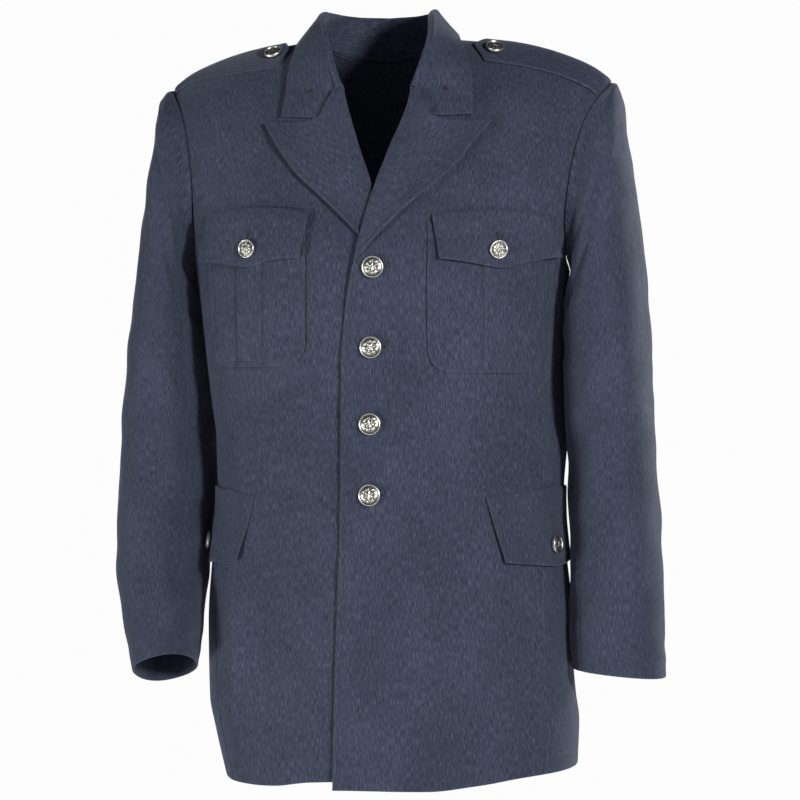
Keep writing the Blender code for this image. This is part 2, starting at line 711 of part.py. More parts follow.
def collar_half(place, share):
    """Half of the collar with a straight end: up the stand, over the fold and down the fall."""
    edge_lift = np.full(place.shape, LAYER_GAP + COLLAR_WALL + COLLAR_EDGE_RISE)
    ridge = fold_line(place)
    tangent = unit(fold_line(np.minimum(place + 1e-3, 1)) - fold_line(np.maximum(place - 1e-3, 0)))
    seam = collar_seam(place)
    edge = on_top(1, COLLAR.at("edge_x", place), COLLAR.at("edge_y", place), edge_lift)

    def across_only(vectors):
        return vectors - tangent * np.sum(vectors * tangent, axis=-1, keepdims=True)

    down = unit(across_only(seam - ridge))
    out = across_only(edge - ridge)
    out = unit(out - down * np.sum(out * down, axis=-1, keepdims=True))
    stand = np.clip(share / STAND_SHARE, 0, 1)[..., None]
    bend = np.clip((share - STAND_SHARE) / (FOLD_SHARE - STAND_SHARE), 0, 1)[..., None] * math.pi
    lay = np.clip((share - FOLD_SHARE) / (1 - FOLD_SHARE), 0, 1)[..., None]
    on_stand = seam + (ridge - seam) * stand
    on_fold = ridge + out * FOLD_RADIUS * (1 - np.cos(bend)) - down * FOLD_RADIUS * np.sin(bend)
    start = ridge + out * 2 * FOLD_RADIUS
    guide = start + down * 0.15 * np.linalg.norm(edge - start, axis=-1, keepdims=True)
    on_fall = start * (1 - lay) ** 2 + guide * 2 * lay * (1 - lay) + edge * lay**2
    points = np.where(share[..., None] <= STAND_SHARE, on_stand, on_fold)
    return np.where(share[..., None] >= FOLD_SHARE, on_fall, points)


def collar_section(along, share):
    """Points of the whole collar, with the notch cut at its front ends."""
    along, share = np.broadcast_arrays(np.asarray(along, float), np.asarray(share, float))
    place = np.abs(along)
    points = collar_half(place, share)
    lay = np.clip((share - FOLD_SHARE) / (1 - FOLD_SHARE), 0, 1)
    end = collar_half(np.ones_like(place), share)
    near_end = smooth(GORGE_START, 1, place) ** 1.5 * smooth(0, 0.12, lay)
    points[..., 0] += (COLLAR_END.at("across", lay) - end[..., 0]) * near_end
    points[..., 2] += (COLLAR_END.at("height", lay) - end[..., 2]) * near_end
    edge_lift = np.full(place.shape, LAYER_GAP + COLLAR_WALL + COLLAR_EDGE_RISE)
    chest = on_front(-1, points[..., 0], points[..., 2], edge_lift)
    clear = np.minimum(points[..., 1], chest[..., 1])
    over_chest = smooth(0.70, 0.80, place) * smooth(0, 0.2, lay)
    points[..., 1] += (clear - points[..., 1]) * over_chest
    points[..., 0] *= np.where(along < 0, -1.0, 1.0)
    return points


def collar_piece(lift):
    alongs = np.concatenate([-spread(13, 1.0)[::-1], spread(13, 1.0)[1:]])
    shares = np.concatenate([
        np.linspace(0, STAND_SHARE, 4),
        np.linspace(STAND_SHARE, FOLD_SHARE, 4)[1:],
        FOLD_SHARE + (1 - FOLD_SHARE) * np.array([0.16, GORGE_SHARE, 0.55, 0.78, 1.0]),
    ])
    a, s = np.meshgrid(alongs, shares, indexing="ij")
    return lifted(collar_section, a, s, np.full(a.shape, lift), -1, step=2e-4)


def lapel_place(side, along, out, lift):
    """Points of a lapel: along the roll line from the break up, and out from it to the edge."""
    height = LAPEL_BREAK + (LAPEL_GORGE - LAPEL_BREAK) * along
    roll = FRONT_EDGE.at(side_name(side), height) - 0.0005
    across = roll + (LAPEL_EDGE.at("across", along) - roll) * out
    height = height + (LAPEL_EDGE.at("height", along) - height) * out
    dip = np.minimum(out / LAPEL_NOTCH_SHARE, (1 - out) / (1 - LAPEL_NOTCH_SHARE))
    height = height - LAPEL_NOTCH_DROP * dip * along**4
    roll_share = out / 0.18
    rise = LAPEL_ROLL * roll_share * np.exp(1 - roll_share) * smooth(0.25, 0.8, along)
    free = 0.0012 * smooth(0.6, 1, out) * smooth(0.0, 0.4, along)
    return on_front(side, across, height, lift + rise + free)


def lapel_piece(side, lift):
    alongs = np.linspace(0.035, 1, 13)
    outs = np.array([0, 0.09, LAPEL_NOTCH_SHARE, 0.38, 0.6, 0.8, 1.0])
    a, o = np.meshgrid(alongs, outs, indexing="ij")
    return lapel_place(side, a, o, lift + LAYER_GAP + LAPEL_WALL)


def pocket_piece(side, lift):
    """A patch pocket with a raised pleat and round lower corners."""
    inner, low = POCKET_INNER[side], POCKET_BOTTOM[side]
    outer = min(POCKET_OUTER, float(seam_across(side, -1, low)) - POCKET_EDGE_MARGIN)
    in_corner = POCKET_CORNER * (1 - np.cos(np.linspace(0, math.pi / 2, 5)))
    pleat_edges = [PLEAT_INNER - PLEAT_EDGE, PLEAT_INNER, PLEAT_OUTER, PLEAT_OUTER + PLEAT_EDGE]
    columns = np.concatenate([inner + in_corner, pleat_edges, (outer - in_corner)[::-1]])
    pleat = PLEAT_RISE * ((columns >= PLEAT_INNER) & (columns <= PLEAT_OUTER))
    from_side = np.clip(np.minimum(columns - inner, outer - columns), 0, POCKET_CORNER)
    bottom = low + POCKET_CORNER - np.sqrt(POCKET_CORNER**2 - (POCKET_CORNER - from_side) ** 2)
    rows = []
    for share in np.linspace(0, 1, 7):
        height = POCKET_TOP + (bottom - POCKET_TOP) * share
        rows.append(on_front(side, columns, height, lift + LAYER_GAP + POCKET_WALL + pleat))
    return np.array(rows)


# A chest flap in front view: its top and bottom edges from the inner side to the outer one
CHEST_FLAP = Table(
    "share top_across top_left top_right low_across low_left low_right",
    (0.00, 0.0615, -0.1890, -0.1850, 0.0690, -0.2330, -0.2290),
    (0.25, 0.0890, -0.1845, -0.1805, 0.0965, -0.2350, -0.2310),
    (0.50, 0.1170, -0.1830, -0.1790, 0.1260, -0.2400, -0.2390),
    (0.75, 0.1440, -0.1840, -0.1800, 0.1530, -0.2325, -0.2335),
    (1.00, 0.1705, -0.1860, -0.1830, 0.1780, -0.2260, -0.2285),
)


def chest_flap_place(side, share, down, lift):
    top_x, low_x = CHEST_FLAP.at("top_across", share), CHEST_FLAP.at("low_across", share)
    top_z = CHEST_FLAP.at("top_" + side_name(side), share)
    low_z = CHEST_FLAP.at("low_" + side_name(side), share)
    across = top_x + (low_x - top_x) * down
    height = top_z + (low_z - top_z) * down
    over = POCKET_WALL + FLAP_GAP + PLEAT_RISE * smooth(0, 0.25, down)
    free = FLAP_FREE * smooth(0.4, 1.0, down) + FLAP_BULGE * np.sin(math.pi * down)
    return on_front(side, across, height, lift + LAYER_GAP + over + free)


def flap_grid():
    shares = np.linspace(0, 1, 9)
    downs = np.array([0, 0.15, 0.45, 0.75, 1.0])
    return np.meshgrid(downs, shares, indexing="ij")


def chest_flap_piece(side, lift):
    downs, shares = flap_grid()
    return chest_flap_place(side, shares, downs, lift + FLAP_WALL)


def round_body(side, length, height, lift):
    """Points round the hips, by the length round the body from the hip button."""
    start = math.asin((HIP_BUTTON_X / 0.180) ** 1.175)
    angle = start + np.asarray(length) / 0.145
    power = BODY.at("roundness", height)
    x = BODY.at(side_name(side), height) * np.abs(np.sin(angle)) ** (2 / power)
    depth = np.where(np.cos(angle) > 0, BODY.at("front", height), BODY.at("back", height))
    y = -np.sign(np.cos(angle)) * depth * np.abs(np.cos(angle)) ** (2 / power)
    x = x + flank_bulge(side, y, height)
    return np.stack([side * x, y, height + 0 * x], axis=-1)


def on_hip(side, length, height, lift):
    def surface(a, h):
        return round_body(side, a, h, 0)

    return lifted(surface, length, height, lift, side)


def hip_flap_place(side, share, down, lift):
    around = 2 * share - 1
    front_half = HIP_HALF_WIDTH + HIP_FRONT_EXTRA[side] - HIP_SLANT * down
    length = HIP_BUTTON_SHIFT[side] + around * np.where(around < 0, front_half, HIP_HALF_WIDTH)
    top = HIP_TOP - 0.008 * (share < 0.5) * (1 - 2 * share)
    low = HIP_BOTTOM - HIP_POINT_DROP * (1 - np.abs(around))
    height = top + (low - top) * down
    free = HIP_FLAP_FREE * smooth(0.4, 1.0, down) + FLAP_BULGE * np.sin(math.pi * down / 2)
    return on_hip(side, length, height, lift + LAYER_GAP + free)


def hip_flap_piece(side, lift):
    downs, shares = flap_grid()
    return hip_flap_place(side, shares, downs, lift + FLAP_WALL)


def strap_end(side, y):
    """Distance from the centre line to the armhole seam, at a place on top of the shoulder."""
    turns = np.linspace(-0.3, 0.3, 121)
    seam = armhole(side, turns)[::-1]
    return np.interp(y, seam[:, 1], np.abs(seam[:, 0])) - STRAP_MARGIN


def strap_place(side, along, over, lift):
    """Points of a shoulder strap: along from its point to the sleeve, and over from front to back."""
    tip = STRAP_POINT_X + STRAP_CORNER * np.abs(2 * over - 1)
    where = side_name(side)
    last_front, last_back = STRAP.at("front_" + where, STRAP_SEAM_X), STRAP.at("back_" + where, STRAP_SEAM_X)
    end = strap_end(side, last_front + (last_back - last_front) * over)
    across = tip + (end - tip) * along
    front, back = STRAP.at("front_" + where, across), STRAP.at("back_" + where, across)
    return on_top(side, across, front + (back - front) * over, lift + LAYER_GAP)


def strap_piece(side, lift):
    a, o = np.meshgrid(spread(9, 1.4), np.linspace(0, 1, 7), indexing="ij")
    return strap_place(side, a, o, lift + STRAP_WALL)


def leaned(points):
    """The neck and collar lean to the wearer's right, as the wearer stands."""
    x, y, z = points[..., 0], points[..., 1], points[..., 2]
    near = (1 - smooth(0.06, 0.14, np.abs(x))) * smooth(-0.085, -0.015, y) * smooth(-0.16, -0.01, z)
    return points + (NECK_LEAN * near)[..., None] * np.array([-1.0, 0.0, 0.0])


def material(name, colour, roughness, metallic=0.0):
    made = bpy.data.materials.new(name)
    made.use_nodes = True
    shader = made.node_tree.nodes["Principled BSDF"]
    shader.inputs["Base Color"].default_value = (*colour, 1)
    shader.inputs["Roughness"].default_value = roughness
    shader.inputs["Metallic"].default_value = metallic
    made.diffuse_color = (*colour, 1)
    return made


def add_cloth(name, outer, inner, finish, collection):
    """Joins two grids of points, the outer and inner face of a wall, into one closed solid."""
    rows, columns = outer.shape[:2]
    points = np.concatenate([outer.reshape(-1, 3), inner.reshape(-1, 3)])
    below = rows * columns

    def at(row, column):
        return row * columns + column

    faces = []
    for r in range(rows - 1):
        for c in range(columns - 1):
            face = (at(r, c), at(r, c + 1), at(r + 1, c + 1), at(r + 1, c))
            faces.append(face)
            faces.append(tuple(below + i for i in reversed(face)))
    rim = [at(0, c) for c in range(columns)]
    rim += [at(r, columns - 1) for r in range(1, rows)]
    rim += [at(rows - 1, c) for c in range(columns - 2, -1, -1)]
    rim += [at(r, 0) for r in range(rows - 2, 0, -1)]
    for a, b in zip(rim, rim[1:] + rim[:1]):
        faces.append((b, a, below + a, below + b))
    corners = points[np.array(faces)]
    volume = np.sum(np.cross(corners[:, 0], corners[:, 1]) * corners[:, 2])
    volume += np.sum(np.cross(corners[:, 0], corners[:, 2]) * corners[:, 3])
    if volume < 0:
        faces = [tuple(reversed(face)) for face in faces]
    mesh = bpy.data.meshes.new(name)
    mesh.from_pydata(points.tolist(), [], faces)
    mesh.shade_smooth()
    mesh.set_sharp_from_angle(angle=math.radians(40))
    mesh.materials.append(finish)
    made = bpy.data.objects.new(name, mesh)
    collection.objects.link(made)
    return made


# A button's outline for a diameter and a height of 1: dome, groove, raised rim, flat back
BUTTON_OUTLINE = (
    (0.00, 1.00),
    (0.22, 0.94),
    (0.37, 0.74),
    (0.405, 0.66),
    (0.45, 0.80),
    (0.50, 0.55),
    (0.44, 0.00),
    (0.00, 0.00),
)
BUTTON_HEIGHT = 0.0048


def button_mesh(diameter):
    mesh = bpy.data.meshes.new("button_outline")
    points = [(x * diameter, 0, z * BUTTON_HEIGHT) for x, z in BUTTON_OUTLINE]
    mesh.from_pydata(points, [(i, i + 1) for i in range(len(points) - 1)], [])
    return mesh


def add_button(name, diameter, seat, normal, finish, collection):
    """A turned button whose back lies just off its seat, facing along the normal."""
    mesh = button_mesh(diameter)
    mesh.materials.append(finish)
    made = bpy.data.objects.new(name, mesh)
    collection.objects.link(made)
    facing = np.asarray(normal)
    made.rotation_mode = "QUATERNION"
    z_axis = bpy_vector(facing)
    made.rotation_quaternion = z_axis.to_track_quat("Z", "Y")
    made.location = bpy_vector(np.asarray(seat) + facing * SEAM_GAP * 1.5)
    screw = made.modifiers.new("turn", "SCREW")
    screw.steps = 16
    screw.render_steps = 16
    screw.use_merge_vertices = True
    screw.merge_threshold = 0.0001
    return made


def bpy_vector(values):
    return Vector([float(v) for v in values])


def seat_and_normal(place, above=0.0):
    """The point and the outward direction of a layer, from a function of its lift."""
    low, high = leaned(place(above)), leaned(place(above + 0.001))
    return low, unit(high - low)


def build():
    for thing in list(bpy.data.objects):
        bpy.data.objects.remove(thing, do_unlink=True)
    parts = bpy.data.collections.new("dress_uniform_jacket")
    bpy.context.scene.collection.children.link(parts)
    wool = material("blue_grey_wool", (0.052, 0.063, 0.092), 0.85)
    metal = material("antique_silver_metal", (0.36, 0.35, 0.33), 0.38, 0.9)

    def cloth(name, piece, wall):
        add_cloth(name, leaned(piece(0.0)), leaned(piece(-wall)), wool, parts)

    for side in (1, -1):
        where = side_name(side)
        cloth(f"front_{where}", lambda lift: front_panel(side, lift), BODY_WALL)
        cloth(f"side_{where}", lambda lift: side_panel(side, lift), BODY_WALL)
        cloth(f"back_{where}", lambda lift: back_panel(side, lift), BODY_WALL)
        top = (SLEEVE_BACK_SEAM - 1, SLEEVE_FRONT_SEAM, 15)
        under = (SLEEVE_FRONT_SEAM, SLEEVE_BACK_SEAM, 9)
        cloth(f"sleeve_top_{where}", lambda lift: sleeve_panel(side, *top, lift), SLEEVE_WALL)
        cloth(f"sleeve_under_{where}", lambda lift: sleeve_panel(side, *under, lift), SLEEVE_WALL)
        cloth(f"lapel_{where}", lambda lift: lapel_piece(side, lift), LAPEL_WALL)
        cloth(f"chest_pocket_{where}", lambda lift: pocket_piece(side, lift), POCKET_WALL)
        cloth(f"chest_flap_{where}", lambda lift: chest_flap_piece(side, lift), FLAP_WALL)
        cloth(f"hip_flap_{where}", lambda lift: hip_flap_piece(side, lift), FLAP_WALL)
        cloth(f"epaulette_{where}", lambda lift: strap_piece(side, lift), STRAP_WALL)
    cloth("collar", collar_piece, COLLAR_WALL)

    for number, (across, height) in enumerate(FRONT_BUTTONS, 1):
        seat, normal = seat_and_normal(lambda lift: on_front(1, across, height, lift))
        add_button(f"button_front_{number}", FRONT_BUTTON, seat, normal, metal, parts)
    for side in (1, -1):
        where = side_name(side)
        seat, normal = seat_and_normal(lambda lift: chest_flap_place(side, CHEST_BUTTON_SHARE, CHEST_BUTTON_DOWN, lift + FLAP_WALL))
        add_button(f"button_chest_{where}", SMALL_BUTTON, seat, normal, metal, parts)
        seat, normal = seat_and_normal(lambda lift: hip_flap_place(side, 0.5, HIP_BUTTON_DOWN, lift + FLAP_WALL))
        add_button(f"button_hip_{where}", SMALL_BUTTON, seat, normal, metal, parts)
        seat, normal = seat_and_normal(lambda lift: strap_place(side, 0.12, STRAP_BUTTON_OVER, lift + STRAP_WALL), CURVED_SEAT)
        add_button(f"button_epaulette_{where}", SMALL_BUTTON, seat, normal, metal, parts)


build()
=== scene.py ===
"""The looks of a dress uniform jacket, kept in the shape it has when it is worn.

Metres, +Z up. The front faces -Y and the wearer's left is +X. Cloth is made as thin walls on the
surfaces that the jacket's solids follow, with finer folds, turned edges and top-stitching. Each
piece replaces the solid of the same name. Weave coordinates are lengths along the cloth, in metres.
"""

import math
from functools import partial

import bmesh
import bpy
import numpy as np
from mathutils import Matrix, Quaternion, Vector


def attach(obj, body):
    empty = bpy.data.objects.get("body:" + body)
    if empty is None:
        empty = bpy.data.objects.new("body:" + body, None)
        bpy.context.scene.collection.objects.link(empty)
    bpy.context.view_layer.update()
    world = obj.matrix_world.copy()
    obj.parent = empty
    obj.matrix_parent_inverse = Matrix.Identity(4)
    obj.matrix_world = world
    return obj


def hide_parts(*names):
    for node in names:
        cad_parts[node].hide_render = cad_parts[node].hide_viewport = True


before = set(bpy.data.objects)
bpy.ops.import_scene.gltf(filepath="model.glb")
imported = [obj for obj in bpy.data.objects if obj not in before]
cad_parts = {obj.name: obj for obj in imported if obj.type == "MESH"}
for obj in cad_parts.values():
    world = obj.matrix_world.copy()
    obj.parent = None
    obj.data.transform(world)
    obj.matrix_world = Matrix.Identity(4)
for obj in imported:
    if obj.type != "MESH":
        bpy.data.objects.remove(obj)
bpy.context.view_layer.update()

# Walls of cloth, with the interlining that is fused to it
BODY_WALL = 0.0020
SLEEVE_WALL = 0.0016
COLLAR_WALL = 0.0015
LAPEL_WALL = 0.0016
POCKET_WALL = 0.0012
FLAP_WALL = 0.0018
STRAP_WALL = 0.0024

# Spaces between pieces
SEAM_GAP = 0.0003
LAYER_GAP = 0.0010

# Levels of the body. Above BASE a level slants up from the armhole to the neck.
HEM = -0.757
BASE = -0.222
TOP = -0.046
HEM_BLEND = 0.16
SEAM_FADE = 0.024
SHOULDER_Y = 0.002
FRONT_FULLNESS = 1.5
BACK_FULLNESS = 2.5

# Neck hole, its lean to one side, and the places from where and to where the lean grows or fades
NECK_HALF_WIDTH = 0.0745
NECK_BACK = 0.066
NECK_LEAN = 0.011
LEAN_ASIDE = (0.06, 0.14)
LEAN_BACK = (-0.085, -0.015)
LEAN_UP = (-0.16, -0.01)

# Rounds in which a level is found from a place in plan, and the edge of a front from a level
PLAN_ROUNDS = 12
EDGE_ROUNDS = 20

# The top of a side panel dips under the arm
ARMHOLE_DIP = 0.016
FRONT_TURN = 0.42
BACK_TURN = 0.58

# Sleeve seams, as turns round the arm from the shoulder point through the front
SLEEVE_FRONT_SEAM = 0.375
SLEEVE_BACK_SEAM = 0.665
SLEEVE_ROUNDNESS = 2.3
CAP_STATIONS = 5.0
LAST_STATION = 16

# Girth of a sleeve, the length from one station to the next, and how many of these go round it
SLEEVE_GIRTH = 0.45
STATION_LENGTH = 0.042
STATIONS_ROUND = 12

# Collar: up the stand, over the fold and down the fall, as shares of its width
COLLAR_HALF_LENGTH = 0.22
COLLAR_WIDTH = 0.06
COLLAR_SEAT = 0.0012
COLLAR_EDGE_LIFT = LAYER_GAP + COLLAR_WALL + 0.0022
FOLD_RADIUS = 0.00225
STAND_SHARE = 0.34
FOLD_SHARE = 0.46
GORGE_START = 0.78

# The collar's front ends are cut back a little at the stand and lie under the tops of the lapels
GORGE_CUT = 0.003
COLLAR_END_DROP = 0.0014

# Pin holes of the collar: place along and up it, and how far off its face
PIN_ALONG = 0.92
PIN_SHARE = 0.765
PIN_LIFT = 0.0013

# Lapels: the notch, the bulge beside the roll line, and the tilt of the weave, in radians
LAPEL_NOTCH_SHARE = 0.20
LAPEL_NOTCH_DROP = 0.0252
LAPEL_ROLL = 0.0030
LAPEL_ROLL_PLACE = 0.18
LAPEL_GRAIN = 0.50
LAPEL_WIDTH = 0.11
LAPEL_START = 0.02

# The roll of a lapel round the edge of the front, and how far its top goes up over the collar's end
ROLL_RADIUS = 0.0023
ROLL_SHIFT = 0.0016
LAPEL_TUCK = 0.0055
LAPEL_TOP_RISE = 0.0034

# Overlap of the wearer's left front over the right
LAP_INNER = 0.031
LAP_OUTER = 0.072

# Chest pockets
POCKET_TOP = -0.196
POCKET_BOTTOM = {1: -0.3450, -1: -0.3385}
POCKET_INNER = {1: 0.0575, -1: 0.0655}
POCKET_OUTER = 0.1730
POCKET_EDGE_MARGIN = 0.004
POCKET_CORNER = 0.024
PLEAT_INNER = 0.112
PLEAT_OUTER = 0.138
PLEAT_RISE = 0.0014
PLEAT_EDGE = 0.0012

# Hip flaps, as lengths round the body from the button
HIP_TOP = -0.460
HIP_BOTTOM = -0.5345
FLAP_LENGTH = 0.045
FLAP_BULGE = 0.0008
FLAP_GAP = 0.0006
FLAP_FREE = 0.0016
HIP_FLAP_FREE = 0.0008
HIP_POINT_DROP = 0.006
HIP_FRONT_DROP = 0.008
HIP_HALF_WIDTH = 0.080
HIP_SLANT = 0.016
HIP_BUTTON_SHIFT = {1: 0.0, -1: 0.012}
HIP_FRONT_EXTRA = {1: 0.009, -1: 0.014}
HIP_BUTTON_X = 0.172

# Shoulder straps
STRAP_POINT_X = 0.096
STRAP_CORNER = 0.010
STRAP_MARGIN = 0.0015
STRAP_SEAM_X = 0.222
STRAP_LENGTH = 0.13
STRAP_WIDTH = 0.048

# Buttons
FRONT_BUTTON = 0.0225
SMALL_BUTTON = 0.0190
CURVED_SEAT = 0.0005
BUTTON_GAP = 1.5 * SEAM_GAP
FACING_STEP = 0.001
CHEST_BUTTON_SHARE = 0.50
CHEST_BUTTON_DOWN = 0.68
HIP_BUTTON_SHARE = 0.50
HIP_BUTTON_DOWN = 0.72
STRAP_BUTTON_ALONG = 0.12
STRAP_BUTTON_OVER = 0.32
FRONT_BUTTONS = ((0.004, -0.240), (0.002, -0.3195), (0.001, -0.3960), (0.001, -0.4665))

# Finish of edges: seams roll in, stitched edges have a line of thread a little way in
SEAM_DIP = 0.0007
SEAM_ROLL = 0.0010
STITCH_IN = 0.0055
STITCH_SINK = 0.00040
STITCH_WIDTH = 0.0010
TURNED_BULGE = 0.00025
WEAR_WIDTH = 0.0012
FAR_AWAY = 1.0

# A free edge is rounded over this share of its wall, and by this share on each face
ROUND_REACH = 0.8
ROUND_DEPTH = 0.42

# Distances of the rows next to an edge
EDGE_STEPS = np.array(
    (0.0, 0.0002, 0.0005, 0.0009, 0.0016, 0.0028, 0.0042, 0.0050, 0.0056, 0.0063, 0.0078)
)

# Least space between two columns where a pleat's own columns come between the others
LEAST_SPACING = 0.0006

# Top-stitching thread
STITCH_PITCH = 0.0026
STITCH_LENGTH = 0.0021
STITCH_THREAD = 0.00042
STITCH_SEED = 5

# How far free edges stand off what they lie on, beyond the solids
LAPEL_FREE = 0.0012
LAPEL_STANDS_OFF = 0.0026
FLAP_STANDS_OFF = 0.0022
FLAP_OFF_START = 0.45
CHEST_HELD_DOWN = 0.8
CHEST_HELD_WIDTH = 0.16
HIP_STANDS_OFF = 0.7 * FLAP_STANDS_OFF
EDGE_STANDS_OFF = 0.0022
EDGE_STAND_WIDTH = 0.011
EDGE_STAND_TOP, EDGE_STAND_LOW = -0.215, -0.26

# The grooves beside the pleat of a pocket, and the shallow hollow down its middle
GROOVE_DEPTH = 0.0007
GROOVE_WIDTH = 0.0008
PLEAT_HOLLOW = 0.0005
PLEAT_HOLLOW_WIDTH = 0.004

# Slight swell of cloth that isn't pressed flat: wave length and direction of each part, how far
# the waves are shifted from one to the next, and how much they wander from a straight line
SWELLS = ((0.110, 0.4), (0.071, 1.9), (0.047, 1.1), (0.083, 2.7))
SEED_SHIFT = 1.7
WAVE_SHIFT = 2.4
WANDER = 0.8
WANDER_LENGTH = 2.3
BODY_SWELL = 0.0022
SLEEVE_SWELL = 0.0018

# Ring of the hips, for lengths round the body: half width, bend, and length for each radian
HIP_RING_WIDTH = 0.180
HIP_RING_POWER = 1.175
HIP_RING_RADIUS = 0.145


class Table:
    """Rows of named columns, read between the rows along a smooth curve that never overshoots."""

    def __init__(self, columns, *rows):
        self.columns = columns.split()
        self.rows = np.array(rows, float)
        steps = np.diff(self.rows[:, :1], axis=0)
        slopes = np.diff(self.rows, axis=0) / steps
        before, after = slopes[:-1], slopes[1:]
        total = np.where(before * after > 0, before + after, 1.0)
        inner = np.where(before * after > 0, 2 * before * after / total, 0.0)
        self.slopes = np.vstack([slopes[:1], inner, slopes[-1:]])

    def at(self, column, key):
        keys = self.rows[:, 0]
        key = np.clip(np.asarray(key, float), keys[0], keys[-1])
        i = np.clip(np.searchsorted(keys, key, side="right") - 1, 0, len(keys) - 2)
        k = self.columns.index(column)
        step = keys[i + 1] - keys[i]
        t = (key - keys[i]) / step
        low = (1 + 2 * t) * (1 - t) ** 2 * self.rows[i, k] + t * (1 - t) ** 2 * step * self.slopes[i, k]
        high = t**2 * (3 - 2 * t) * self.rows[i + 1, k] + t**2 * (t - 1) * step * self.slopes[i + 1, k]
        return low + high


def rows_of(columns, *rows):
    """Rows of named columns that are gone through one by one."""
    return [dict(zip(columns.split(), row)) for row in rows]


# Half widths on the wearer's left and right, depths in front and behind, and how square the ring is
BODY = Table(
    "level left right front back roundness",
    (-0.757, 0.1950, 0.1695, 0.131, 0.128, 2.30),
    (-0.710, 0.1965, 0.1815, 0.132, 0.130, 2.30),
    (-0.680, 0.1930, 0.1875, 0.132, 0.132, 2.30),
    (-0.600, 0.1870, 0.1890, 0.132, 0.132, 2.30),
    (-0.540, 0.1830, 0.1850, 0.131, 0.129, 2.35),
    (-0.476, 0.1775, 0.1785, 0.129, 0.120, 2.35),
    (-0.415, 0.1700, 0.1800, 0.127, 0.109, 2.35),
    (-0.370, 0.1695, 0.1860, 0.126, 0.108, 2.35),
    (-0.300, 0.1755, 0.1940, 0.127, 0.116, 2.40),
    (-0.222, 0.1900, 0.2035, 0.127, 0.124, 2.40),
    (-0.200, 0.1990, 0.2070, 0.127, 0.126, 2.50),
    (-0.164, 0.2120, 0.2155, 0.127, 0.127, 2.80),
    (-0.130, 0.2220, 0.2240, 0.127, 0.127, 3.00),
    (-0.094, 0.2340, 0.2350, 0.127, 0.127, 3.20),
    (-0.046, 0.2500, 0.2500, 0.127, 0.127, 3.20),
)

# How far in front and behind the side seams lie
SEAMS = Table(
    "level front back",
    (-0.757, 0.072, 0.070),
    (-0.600, 0.068, 0.068),
    (-0.476, 0.056, 0.062),
    (-0.360, 0.021, 0.056),
    (-0.222, 0.034, 0.055),
)

# How far the middle of a side panel stands out, pressed by the arm against the waist
FLANK = Table(
    "level left right",
    (-0.757, 0.0000, 0.0000),
    (-0.660, 0.0000, 0.0000),
    (-0.620, 0.0010, 0.0000),
    (-0.575, 0.0030, 0.0000),
    (-0.540, 0.0013, 0.0000),
    (-0.520, 0.0006, 0.0000),
    (-0.500, 0.0010, 0.0000),
    (-0.476, 0.0029, 0.0000),
    (-0.458, 0.0060, 0.0010),
    (-0.415, 0.0140, 0.0030),
    (-0.370, 0.0130, 0.0030),
    (-0.318, 0.0080, 0.0020),
    (-0.276, 0.0030, 0.0005),
    (-0.222, 0.0000, 0.0000),
)

# Distance of the armhole seam from the centre line
ARMHOLE = Table(
    "level left right",
    (-0.222, 0.1867, 0.2000),
    (-0.200, 0.1870, 0.1965),
    (-0.164, 0.1915, 0.1955),
    (-0.130, 0.1980, 0.2000),
    (-0.094, 0.2085, 0.2095),
    (-0.070, 0.2190, 0.2195),
    (-0.055, 0.2260, 0.2265),
    (-0.046, 0.2290, 0.2290),
)

# Top of the shoulders, from the centre line out
SHOULDER = Table(
    "across height",
    (0.000, 0.004),
    (0.070, 0.002),
    (0.100, -0.001),
    (0.130, -0.005),
    (0.160, -0.012),
    (0.190, -0.0225),
    (0.210, -0.032),
    (0.229, -0.046),
    (0.250, -0.062),
)

# Inner edge of a front: front edge, roll line and neckline. Negative lies past the centre line.
FRONT_EDGE = Table(
    "height left right",
    (-0.765, -0.0362, -0.0362),
    (-0.630, -0.0330, -0.0330),
    (-0.500, -0.0290, -0.0290),
    (-0.340, -0.0280, -0.0280),
    (-0.280, -0.0235, -0.0235),
    (-0.250, -0.0190, -0.0190),
    (-0.235, -0.0155, -0.0155),
    (-0.161, 0.0037, -0.0006),
    (-0.1135, 0.0187, 0.0168),
    (-0.069, 0.0338, 0.0312),
    (-0.057, 0.0355, 0.0350),
    (-0.048, 0.0450, 0.0450),
    (-0.035, 0.0575, 0.0575),
    (-0.018, 0.0680, 0.0680),
    (0.003, NECK_HALF_WIDTH, NECK_HALF_WIDTH),
)

# How far the cloth beside the roll line stands forward of the chest
THROAT = Table(
    "height lift",
    (-0.160, 0.000),
    (-0.110, 0.005),
    (-0.085, 0.011),
    (-0.062, 0.016),
    (-0.035, 0.013),
    (-0.010, 0.005),
    (0.004, 0.000),
)
THROAT_WIDTH = 0.042

# Height of the hem on each side, from the front edge to the side
HEM_LINE = Table(
    "across left right",
    (-0.036, -0.7600, -0.7490),
    (0.060, -0.7600, -0.7540),
    (0.100, -0.7565, -0.7600),
    (0.150, -0.7490, -0.7615),
    (0.200, -0.7460, -0.7500),
)

# Lift of the left front where it laps over the right, and over the right lapel above the break
LAP = Table(
    "height lift",
    (-0.770, 0.0030),
    (-0.270, 0.0030),
    (-0.235, 0.0062),
    (-0.155, 0.0062),
    (-0.105, 0.0000),
)

